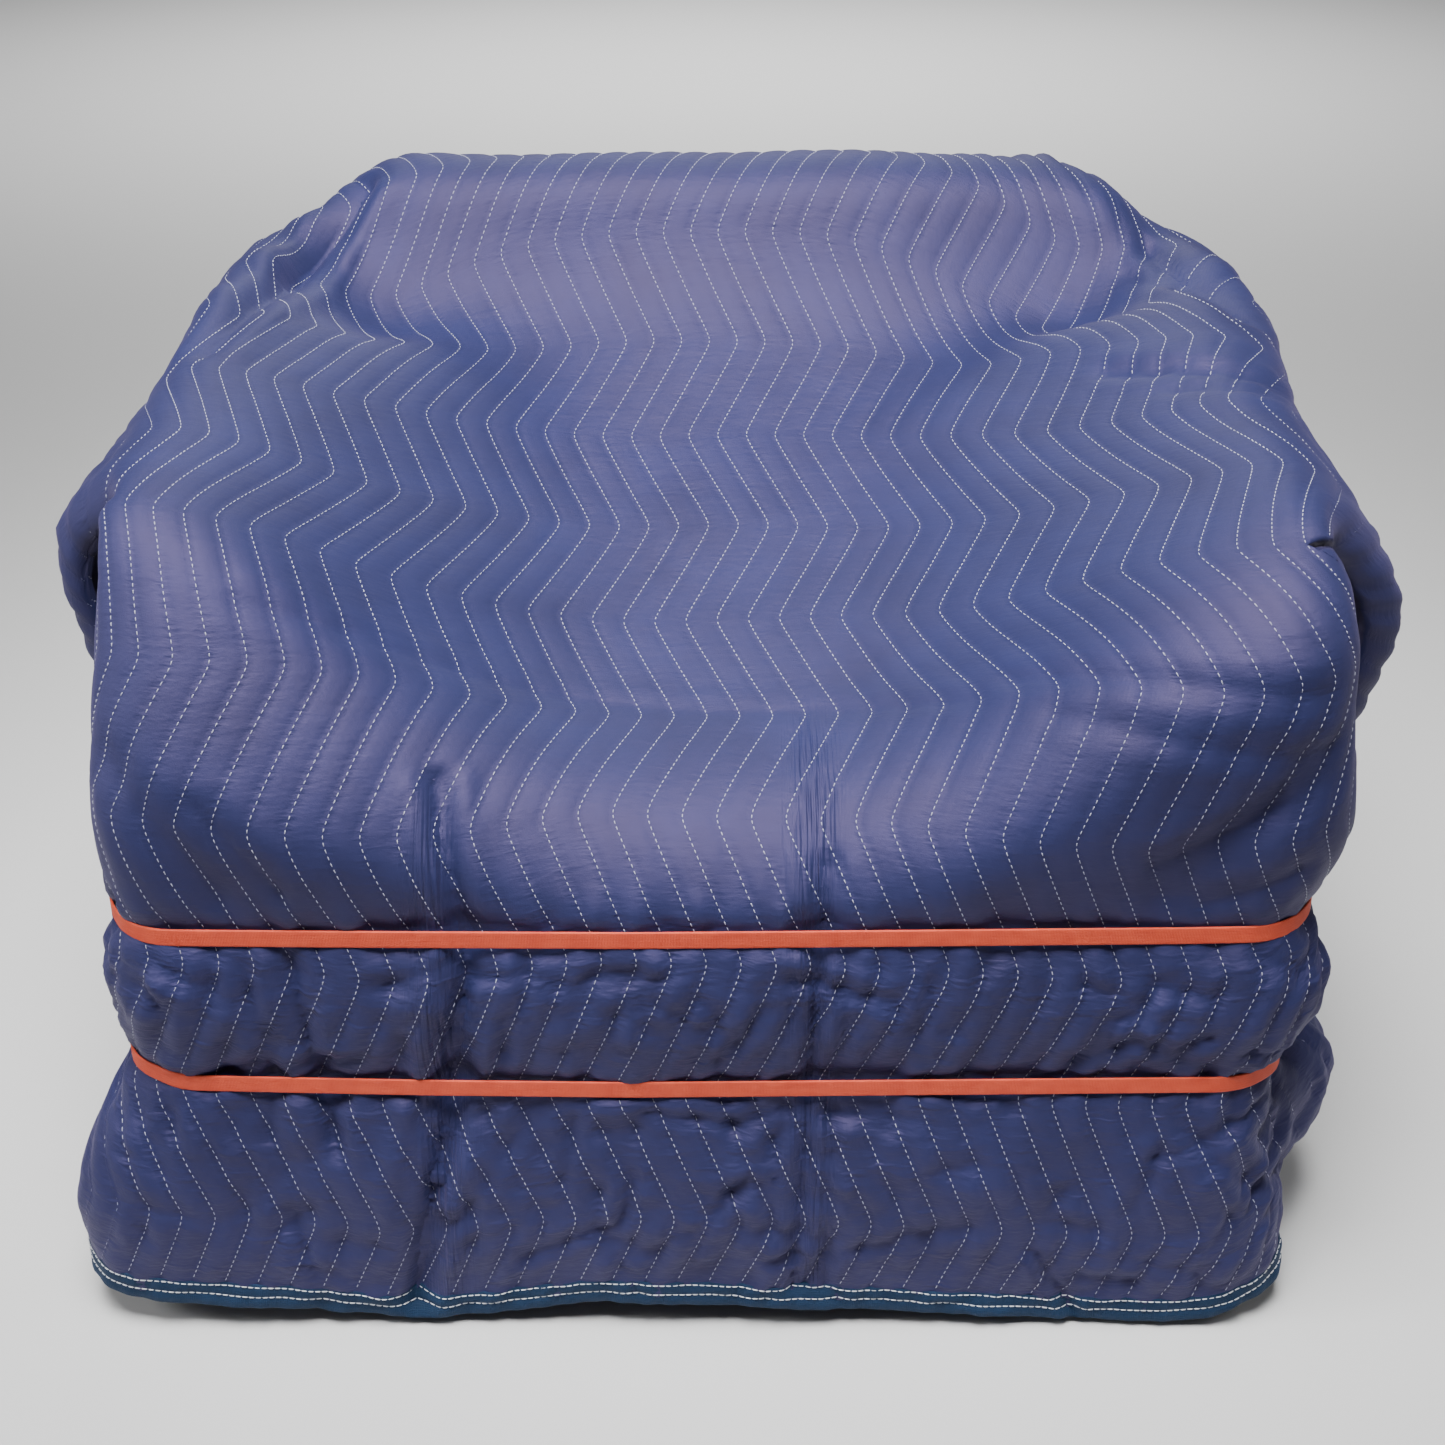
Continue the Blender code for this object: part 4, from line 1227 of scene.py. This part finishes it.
def evenly(outline, gap):
    """Points about gap apart along a closed outline, with the way out at each, both smoothed."""
    closed = np.concatenate([outline, outline[:1]])
    run = np.concatenate([[0.0], np.cumsum(np.hypot(*(closed[1:] - closed[:-1]).T))])
    count = int(run[-1] / gap)
    at = np.arange(count) * run[-1] / count
    points = np.stack([np.interp(at, run, closed[:, i]) for i in (0, 1)], 1)
    for _ in range(2):
        points = 0.25 * np.roll(points, 1, 0) + 0.5 * points + 0.25 * np.roll(points, -1, 0)
    along = np.roll(points, -1, 0) - np.roll(points, 1, 0)
    out = np.stack([along[:, 1], -along[:, 0]], 1)
    return points, out / np.linalg.norm(out, axis=1, keepdims=True), at


def band(name, level):
    """A ribbed elastic band, taut round the cloth."""
    near = places[is_outer]
    near = near[np.abs(band_distance(level, near)) < BAND_STEP]
    points, out, run = evenly(hull(near[:, :2]), BAND_STEP)
    rings = []
    for up, thick in BAND_SECTION:
        flat = points + out * (thick + 0.0004)
        z = level + BAND_SLOPE * points[:, 1] + up * BAND_WIDTH
        rings.append(np.concatenate([flat, z[:, None]], 1))
    lofted = np.stack(rings, 1)
    count, many = lofted.shape[:2]
    up = np.tile([row[0] * BAND_WIDTH for row in BAND_SECTION], count)
    flat = np.stack([np.repeat(run, many), up], 1)
    print(name, "is", round(float(run[-1]), 2), "m long")
    return add_piece(name, lofted.reshape(-1, 3), loft_faces(count, many, True), flat)


bands = {name: band(name + "_dressed", level) for name, level in BANDS}

# %% [markdown]
# ## Finishes
#
# Every finish is built from nodes. Two effects are shared by several of them, so each is a node
# group: the woven threads, which give a fine height for a bump, and the mottling, a soft mask
# that varies the colour a little where cloth has been handled. A third group gives the distance
# to the nearest stitch line, by the same formula that placed the stitches.
#
# The pattern coordinates are the flat cloth's own u and v in metres, kept as a UV layer, so the
# weave runs with the cloth round every fold.


# %% Node helpers
def group(name, inputs, outputs):
    """An empty node group with named float or vector inputs and float outputs."""
    tree = bpy.data.node_groups.new(name, "ShaderNodeTree")
    for label, kind, value in inputs:
        socket = tree.interface.new_socket(label, in_out="INPUT", socket_type=kind)
        if value is not None:
            socket.default_value = value
    for label in outputs:
        tree.interface.new_socket(label, in_out="OUTPUT", socket_type="NodeSocketFloat")
    return tree, tree.nodes.new("NodeGroupInput"), tree.nodes.new("NodeGroupOutput")


def math_node(tree, operation, first, second=None, third=None):
    """A Math node; its inputs are sockets or plain numbers. Returns its output."""
    node = tree.nodes.new("ShaderNodeMath")
    node.operation = operation
    for slot, value in zip(node.inputs, (first, second, third)):
        if value is None:
            continue
        if isinstance(value, (int, float)):
            slot.default_value = value
        else:
            tree.links.new(value, slot)
    return node.outputs[0]


def split(tree, vector):
    """The X and Y of a vector socket."""
    node = tree.nodes.new("ShaderNodeSeparateXYZ")
    tree.links.new(vector, node.inputs[0])
    return node.outputs["X"], node.outputs["Y"]


def stretched_noise(tree, vector, scale, detail=2.0, rough=0.5):
    """Noise whose bumps are scaled separately across and along the cloth."""
    mapping = tree.nodes.new("ShaderNodeMapping")
    mapping.inputs["Scale"].default_value = (scale[0], scale[1], 1.0)
    noise = tree.nodes.new("ShaderNodeTexNoise")
    noise.inputs["Scale"].default_value = 1.0
    noise.inputs["Detail"].default_value = detail
    noise.inputs["Roughness"].default_value = rough
    tree.links.new(vector, mapping.inputs["Vector"])
    tree.links.new(mapping.outputs["Vector"], noise.inputs["Vector"])
    return noise.outputs["Fac"]


# %% Shared group: woven threads
def woven_threads():
    """Height of a plain weave, in thread heights: threads go over and under one another."""
    inputs = [("Cloth", "NodeSocketVector", None), ("Threads per metre", "NodeSocketFloat", 1200.0)]
    tree, given, made = group("woven_threads", inputs, ["Height"])
    u, v = split(tree, given.outputs["Cloth"])
    heights = []
    for first, second in ((u, v), (v, u)):
        count = math_node(tree, "MULTIPLY", first, given.outputs["Threads per metre"])
        other = math_node(tree, "MULTIPLY", second, given.outputs["Threads per metre"])
        wave = math_node(tree, "SINE", math_node(tree, "MULTIPLY", count, math.pi))
        thread = math_node(tree, "ABSOLUTE", wave)
        over = math_node(tree, "SINE", math_node(tree, "MULTIPLY", other, math.pi))
        heights.append(math_node(tree, "MULTIPLY", thread, math_node(tree, "ABSOLUTE", over)))
    both = math_node(tree, "ADD", heights[0], heights[1])
    grain = stretched_noise(tree, given.outputs["Cloth"], (900.0, 900.0), 1.0)
    total = math_node(tree, "ADD", math_node(tree, "MULTIPLY", both, 0.5), grain)
    tree.links.new(total, made.inputs["Height"])
    return tree


# %% Shared group: mottling
def mottling():
    """A mask from 0 to 1 with soft patches, for slight differences in colour and shine."""
    inputs = [("Cloth", "NodeSocketVector", None), ("Patches per metre", "NodeSocketFloat", 9.0)]
    tree, given, made = group("mottling", inputs, ["Mask"])
    noise = tree.nodes.new("ShaderNodeTexNoise")
    noise.inputs["Detail"].default_value = 4.0
    noise.inputs["Roughness"].default_value = 0.6
    tree.links.new(given.outputs["Cloth"], noise.inputs["Vector"])
    tree.links.new(given.outputs["Patches per metre"], noise.inputs["Scale"])
    clearer = math_node(tree, "MULTIPLY_ADD", noise.outputs["Fac"], 2.4, -0.7)
    held = math_node(tree, "MINIMUM", math_node(tree, "MAXIMUM", clearer, 0.0), 1.0)
    tree.links.new(held, made.inputs["Mask"])
    return tree


# %% Shared group: distance to a stitch line
def quilt_lines():
    """Distance across from the nearest zigzag stitch line, in metres."""
    inputs = [("Cloth", "NodeSocketVector", None)]
    tree, given, made = group("quilt_lines", inputs, ["Distance"])
    u, v = split(tree, given.outputs["Cloth"])
    turn = math_node(tree, "MULTIPLY_ADD", v, math.pi / HALF_WAVE, -math.pi * FIRST_TIP / HALF_WAVE)
    wave = math_node(tree, "MULTIPLY", math_node(tree, "COSINE", turn), TIP_SHARP)
    to_metres = 0.5 * ZIGZAG / math.asin(TIP_SHARP)
    shift = math_node(tree, "MULTIPLY", math_node(tree, "ARCSINE", wave), to_metres)
    across = math_node(tree, "MULTIPLY", math_node(tree, "SUBTRACT", u, shift), 1.0 / PITCH)
    nearest = math_node(tree, "ROUND", across)
    gap = math_node(tree, "ABSOLUTE", math_node(tree, "SUBTRACT", across, nearest))
    tree.links.new(math_node(tree, "MULTIPLY", gap, PITCH), made.inputs["Distance"])
    return tree


WEAVE, MOTTLING, LINES = woven_threads(), mottling(), quilt_lines()
print("groups:", [g.name for g in (WEAVE, MOTTLING, LINES)])


# %% The parts of a finish
def new_finish(name, colour, roughness):
    """A material with its shader, and the cloth's own coordinates."""
    material = bpy.data.materials.new(name)
    material.use_nodes = True
    tree = material.node_tree
    shader = tree.nodes["Principled BSDF"]
    shader.inputs["Base Color"].default_value = (*colour, 1.0)
    shader.inputs["Roughness"].default_value = roughness
    shader.inputs["Metallic"].default_value = 0.0
    flat = tree.nodes.new("ShaderNodeUVMap")
    flat.uv_map = "flat"
    return material, tree, shader, flat.outputs["UV"]


def placed(tree, group_tree, cloth, **values):
    """A node group in a material, with its own values. Returns its output."""
    node = tree.nodes.new("ShaderNodeGroup")
    node.node_tree = group_tree
    tree.links.new(cloth, node.inputs["Cloth"])
    for label, value in values.items():
        node.inputs[label.replace("_", " ")].default_value = value
    return node.outputs[0]


def mixed_colour(tree, shader, mask, first, second):
    """The base colour, between two by a mask."""
    ramp = tree.nodes.new("ShaderNodeMix")
    ramp.data_type = "RGBA"
    ramp.inputs["A"].default_value = (*first, 1.0)
    ramp.inputs["B"].default_value = (*second, 1.0)
    tree.links.new(mask, ramp.inputs["Factor"])
    tree.links.new(ramp.outputs["Result"], shader.inputs["Base Color"])


def bumped(tree, shader, height):
    """The shader's normal, bent by a height in metres."""
    bump = tree.nodes.new("ShaderNodeBump")
    bump.inputs["Strength"].default_value = 1.0
    bump.inputs["Distance"].default_value = 1.0
    tree.links.new(height, bump.inputs["Height"])
    tree.links.new(bump.outputs["Normal"], shader.inputs["Normal"])


# %% [markdown]
# ### The woven face cloth
#
# The face is navy polyester with a broad violet shine: dark where it hangs, and much paler where it
# lies under the lamp. A brighter colour would lighten both alike, so the colour stays dark here and
# the shine is strong, rough and tinted, with a little sheen for stray fibre ends. The bump
# adds what is too fine for the mesh: the weave, the many small puckers that the stitching draws
# beside each line, sharp little folds on the slack front, and the thin upright wrinkles of the
# two creases that the blanket was packed in.


# %% Masks and heights of the quilted cloth
def between(tree, cloth, low, high, soft):
    """1 where v lies between low and high, with soft ends."""
    _, v = split(tree, cloth)
    rise = tree.nodes.new("ShaderNodeMapRange")
    rise.interpolation_type = "SMOOTHSTEP"
    rise.inputs["From Min"].default_value = low - soft
    rise.inputs["From Max"].default_value = low
    tree.links.new(v, rise.inputs["Value"])
    fall = tree.nodes.new("ShaderNodeMapRange")
    fall.interpolation_type = "SMOOTHSTEP"
    fall.inputs["From Min"].default_value = high + soft
    fall.inputs["From Max"].default_value = high
    tree.links.new(v, fall.inputs["Value"])
    return math_node(tree, "MULTIPLY", rise.outputs["Result"], fall.outputs["Result"])


def fading(tree, power):
    """e to a power that a socket gives, for masks that fade with distance."""
    return math_node(tree, "POWER", 2.718, power)


def packing_puckers(tree, cloth, u_at, width, low, high):
    """Thin upright wrinkles in a strip of cloth that was once folded, as a height in metres."""
    u, _ = split(tree, cloth)
    away = math_node(tree, "MULTIPLY", math_node(tree, "SUBTRACT", u, u_at), 1.0 / width)
    squared = math_node(tree, "MULTIPLY", away, away)
    strip = fading(tree, math_node(tree, "MULTIPLY", squared, -1.0))
    wrinkles = stretched_noise(tree, cloth, (150.0, 8.0), 2.0, 0.5)
    wrinkles = math_node(tree, "ABSOLUTE", math_node(tree, "SUBTRACT", wrinkles, 0.5))
    mask = math_node(tree, "MULTIPLY", strip, between(tree, cloth, low, high, 0.12))
    return math_node(tree, "MULTIPLY", math_node(tree, "MULTIPLY", wrinkles, mask), PACKED_HEIGHT)


def scaled(tree, height, steady, more, mask):
    """A height times a steady amount, and more of it where a mask is 1."""
    return math_node(tree, "MULTIPLY", height, math_node(tree, "MULTIPLY_ADD", mask, more, steady))


# %% Finish of the quilted cloth
# Strips that were folded in the packet: u, width, from v, to v
PACKED_STRIPS = ((0.075, 0.016, 0.02, 0.46), (-0.205, 0.018, 0.02, 0.36))
PACKED_HEIGHT = 0.0085
WEAVE_HEIGHT = 0.00007


def fine_relief(tree, cloth):
    """Height in metres of all that is too fine for the mesh, as a socket."""
    slack = between(tree, cloth, -0.1, 0.30, 0.08)
    gap = placed(tree, LINES, cloth)
    near_line = fading(tree, math_node(tree, "MULTIPLY", gap, -180.0))
    puckers = stretched_noise(tree, cloth, (60.0, 210.0), 2.0, 0.55)
    puckers = math_node(tree, "MULTIPLY", puckers, near_line)
    height = scaled(tree, puckers, 0.0012, 0.0010, slack)
    dents = stretched_noise(tree, cloth, (30.0, 75.0), 3.0, 0.55)
    height = math_node(tree, "ADD", height, scaled(tree, dents, 0.0006, 0.0012, slack))
    patches = placed(tree, MOTTLING, cloth, Patches_per_metre=7.0)
    fold_noise = stretched_noise(tree, cloth, (26.0, 92.0), 2.0, 0.5)
    sharp = math_node(tree, "MAXIMUM", math_node(tree, "SUBTRACT", fold_noise, 0.57), 0.0)
    crushed = math_node(tree, "MULTIPLY", slack, patches)
    height = math_node(tree, "ADD", height, scaled(tree, sharp, 0.0006, 0.0075, crushed))
    threads_high = placed(tree, WEAVE, cloth, Threads_per_metre=1300.0)
    weave = math_node(tree, "MULTIPLY", threads_high, WEAVE_HEIGHT)
    height = math_node(tree, "ADD", height, weave)
    for u_at, width, low, high in PACKED_STRIPS:
        packed = packing_puckers(tree, cloth, u_at, width, low, high)
        height = math_node(tree, "ADD", height, packed)
    return height


def cloth_finish():
    """Navy woven polyester with a violet shine."""
    material, tree, shader, cloth = new_finish("woven_polyester", (0.0078, 0.0132, 0.054), 0.60)
    shader.inputs["Specular IOR Level"].default_value = 0.50
    shader.inputs["Specular Tint"].default_value = (0.82, 0.60, 1.0, 1.0)
    shader.inputs["Sheen Weight"].default_value = 0.07
    shader.inputs["Sheen Roughness"].default_value = 0.5
    shader.inputs["Sheen Tint"].default_value = (0.62, 0.50, 1.0, 1.0)
    mask = placed(tree, MOTTLING, cloth, Patches_per_metre=11.0)
    mixed_colour(tree, shader, mask, (0.0053, 0.0109, 0.043), (0.0084, 0.0154, 0.062))
    bumped(tree, shader, fine_relief(tree, cloth))
    return material


CLOTH_FINISH = cloth_finish()
print(CLOTH_FINISH.name, "has", len(CLOTH_FINISH.node_tree.nodes), "nodes")

# %% [markdown]
# ### Tape, thread and elastic
#
# The tape is duller than the cloth, with a weave that shows. There are two threads. The quilting's
# is thin and sinks in, and its colour is painted greyer than the pale thread, as painted shade of
# the dip it lies in. The tape's is thick and off-white. The elastic is orange, and its ribs run
# along it, each crossed by fine rubber-filled picks.


# %% Finishes of the tape, the thread and the elastic
def tape_finish():
    """Dark blue woven tape."""
    material, tree, shader, cloth = new_finish("binding_tape", (0.006, 0.022, 0.056), 0.72)
    shader.inputs["Specular IOR Level"].default_value = 0.18
    shader.inputs["Sheen Weight"].default_value = 0.05
    shader.inputs["Sheen Tint"].default_value = (0.45, 0.60, 0.95, 1.0)
    mask = placed(tree, MOTTLING, cloth, Patches_per_metre=30.0)
    mixed_colour(tree, shader, mask, (0.005, 0.019, 0.049), (0.008, 0.026, 0.064))
    threads_high = placed(tree, WEAVE, cloth, Threads_per_metre=700.0)
    weave = math_node(tree, "MULTIPLY", threads_high, 0.00025)
    dents = math_node(tree, "MULTIPLY", stretched_noise(tree, cloth, (110.0, 60.0), 2.0), 0.0014)
    bumped(tree, shader, math_node(tree, "ADD", weave, dents))
    return material


def thread_finish(name, dull, bright):
    """Sewing thread, between a dull and a bright colour."""
    material = bpy.data.materials.new(name)
    material.use_nodes = True
    tree = material.node_tree
    shader = tree.nodes["Principled BSDF"]
    shader.inputs["Roughness"].default_value = 0.55
    place = tree.nodes.new("ShaderNodeTexCoord")
    noise = tree.nodes.new("ShaderNodeTexNoise")
    noise.inputs["Scale"].default_value = 160.0
    tree.links.new(place.outputs["Object"], noise.inputs["Vector"])
    mixed_colour(tree, shader, noise.outputs["Fac"], dull, bright)
    return material


def elastic_finish():
    """Orange ribbed elastic."""
    material, tree, shader, cloth = new_finish("orange_elastic", (0.62, 0.070, 0.022), 0.62)
    mask = placed(tree, MOTTLING, cloth, Patches_per_metre=60.0)
    mixed_colour(tree, shader, mask, (0.54, 0.046, 0.014), (0.66, 0.072, 0.024))
    picks = placed(tree, WEAVE, cloth, Threads_per_metre=900.0)
    bumped(tree, shader, math_node(tree, "MULTIPLY", picks, 0.00018))
    return material


def dress(obj, material):
    """Gives a piece its finish."""
    obj.data.materials.clear()
    obj.data.materials.append(material)
    return obj


# %% Dress every piece
TAPE_FINISH, BAND_FINISH = tape_finish(), elastic_finish()
# The quilting thread is pale. These greyer colours are painted shade of the dip that it sinks into.
QUILT_THREAD_SHADED = thread_finish("quilting_thread_painted_shade", (0.20, 0.21, 0.29), (0.36, 0.36, 0.46))
TAPE_THREAD = thread_finish("binding_thread", (0.46, 0.48, 0.54), (0.70, 0.71, 0.75))
dress(blanket, CLOTH_FINISH)
for piece in threads:
    dress(piece, QUILT_THREAD_SHADED)
for made in tapes.values():
    dress(made[0], TAPE_FINISH)
    for row in made[1:]:
        dress(row, TAPE_THREAD)
for piece in bands.values():
    dress(piece, BAND_FINISH)
FINISHES = (CLOTH_FINISH, TAPE_FINISH, QUILT_THREAD_SHADED, TAPE_THREAD, BAND_FINISH)
print("finishes:", [finish.name for finish in FINISHES])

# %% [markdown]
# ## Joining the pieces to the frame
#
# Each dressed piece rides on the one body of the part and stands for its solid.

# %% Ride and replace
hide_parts("quilted_cloth")
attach(blanket, "root")
for piece in threads:
    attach(piece, "root")
for node, made in tapes.items():
    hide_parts(node)
    for piece in made:
        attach(piece, "root")
for node, piece in bands.items():
    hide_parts(node)
    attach(piece, "root")

# %% [markdown]
# ## Floor, light and camera
#
# A plain pale floor and soft light, as in a studio. One large lamp overhead and a little in front
# does most of the work: it lights the seat fully and grazes the front, so that every channel of the
# quilting shows. Two weak lamps fill the corners, and one far behind lights the floor that serves
# as the backdrop. The sky is kept dim, and the floor isn't white, because light from all round
# would wash the quilting out. The camera looks down at the front at the same angle as the picture
# that the part was made from.


# %% The floor
def pale_floor():
    """A large pale floor just under the hem."""
    size, level = 12.0, -ORIGIN[2]
    corners = [(x * size, y * size, level) for x, y in ((-1, -1), (1, -1), (1, 1), (-1, 1))]
    mesh = bpy.data.meshes.new("floor")
    mesh.from_pydata(corners, [], [(0, 1, 2, 3)])
    obj = bpy.data.objects.new("floor", mesh)
    bpy.context.scene.collection.objects.link(obj)
    material = bpy.data.materials.new("pale_floor")
    material.use_nodes = True
    shader = material.node_tree.nodes["Principled BSDF"]
    shader.inputs["Base Color"].default_value = (0.56, 0.56, 0.56, 1.0)
    shader.inputs["Roughness"].default_value = 0.9
    mesh.materials.append(material)
    return obj


floor = pale_floor()
print("floor at z =", round(floor.data.vertices[0].co.z, 4))


# %% The lamps and the sky
def soft_lamp(name, place, aim, size, watts, spread):
    """A square lamp at place, turned towards aim, that shines in a cone of spread degrees."""
    data = bpy.data.lights.new(name, "AREA")
    data.shape = "SQUARE"
    data.size = size
    data.energy = watts
    data.spread = math.radians(spread)
    obj = bpy.data.objects.new(name, data)
    obj.location = place
    way = [a - b for a, b in zip(aim, place)]
    flat = math.hypot(way[0], way[1])
    obj.rotation_euler = (math.atan2(flat, -way[2]), 0.0, math.atan2(way[1], way[0]) - math.pi / 2)
    bpy.context.scene.collection.objects.link(obj)
    return obj


# Name, place, aim, size, watts, spread
LAMPS = (
    ("overhead_lamp", (-0.20, -1.20, 2.05), (0.0, -0.26, -0.3), 1.4, 52.0, 75.0),
    ("front_left_lamp", (-2.3, -1.20, 0.65), (0.0, -0.6, -0.30), 0.6, 6.0, 80.0),
    ("front_right_lamp", (2.5, -0.9, 1.2), (0.2, -0.4, -0.3), 1.0, 3.0, 90.0),
    ("backdrop_lamp", (0.0, 5.2, 3.2), (0.0, 5.6, -0.8), 3.0, 320.0, 150.0),
)
for lamp in LAMPS:
    soft_lamp(*lamp)
world = bpy.data.worlds.new("studio")
world.use_nodes = True
sky = world.node_tree.nodes["Background"]
sky.inputs["Color"].default_value = (1.0, 1.0, 1.0, 1.0)
sky.inputs["Strength"].default_value = 0.09
bpy.context.scene.world = world
print(len(LAMPS), "lamps, sky at", round(sky.inputs["Strength"].default_value, 3))

# %% Camera
CAMERA_PLACE = (0.008, -1.22, 1.154)
LOOK_DOWN = 27.0
lens = bpy.data.cameras.new("camera")
lens.lens = 49.83
lens.sensor_width = 36.0
camera = bpy.data.objects.new("camera", lens)
camera.location = [place - start for place, start in zip(CAMERA_PLACE, ORIGIN)]
camera.rotation_euler = (math.radians(90.0 - LOOK_DOWN), 0.0, 0.0)
bpy.context.scene.collection.objects.link(camera)
bpy.context.scene.camera = camera
print("camera at", tuple(round(c, 3) for c in camera.location))
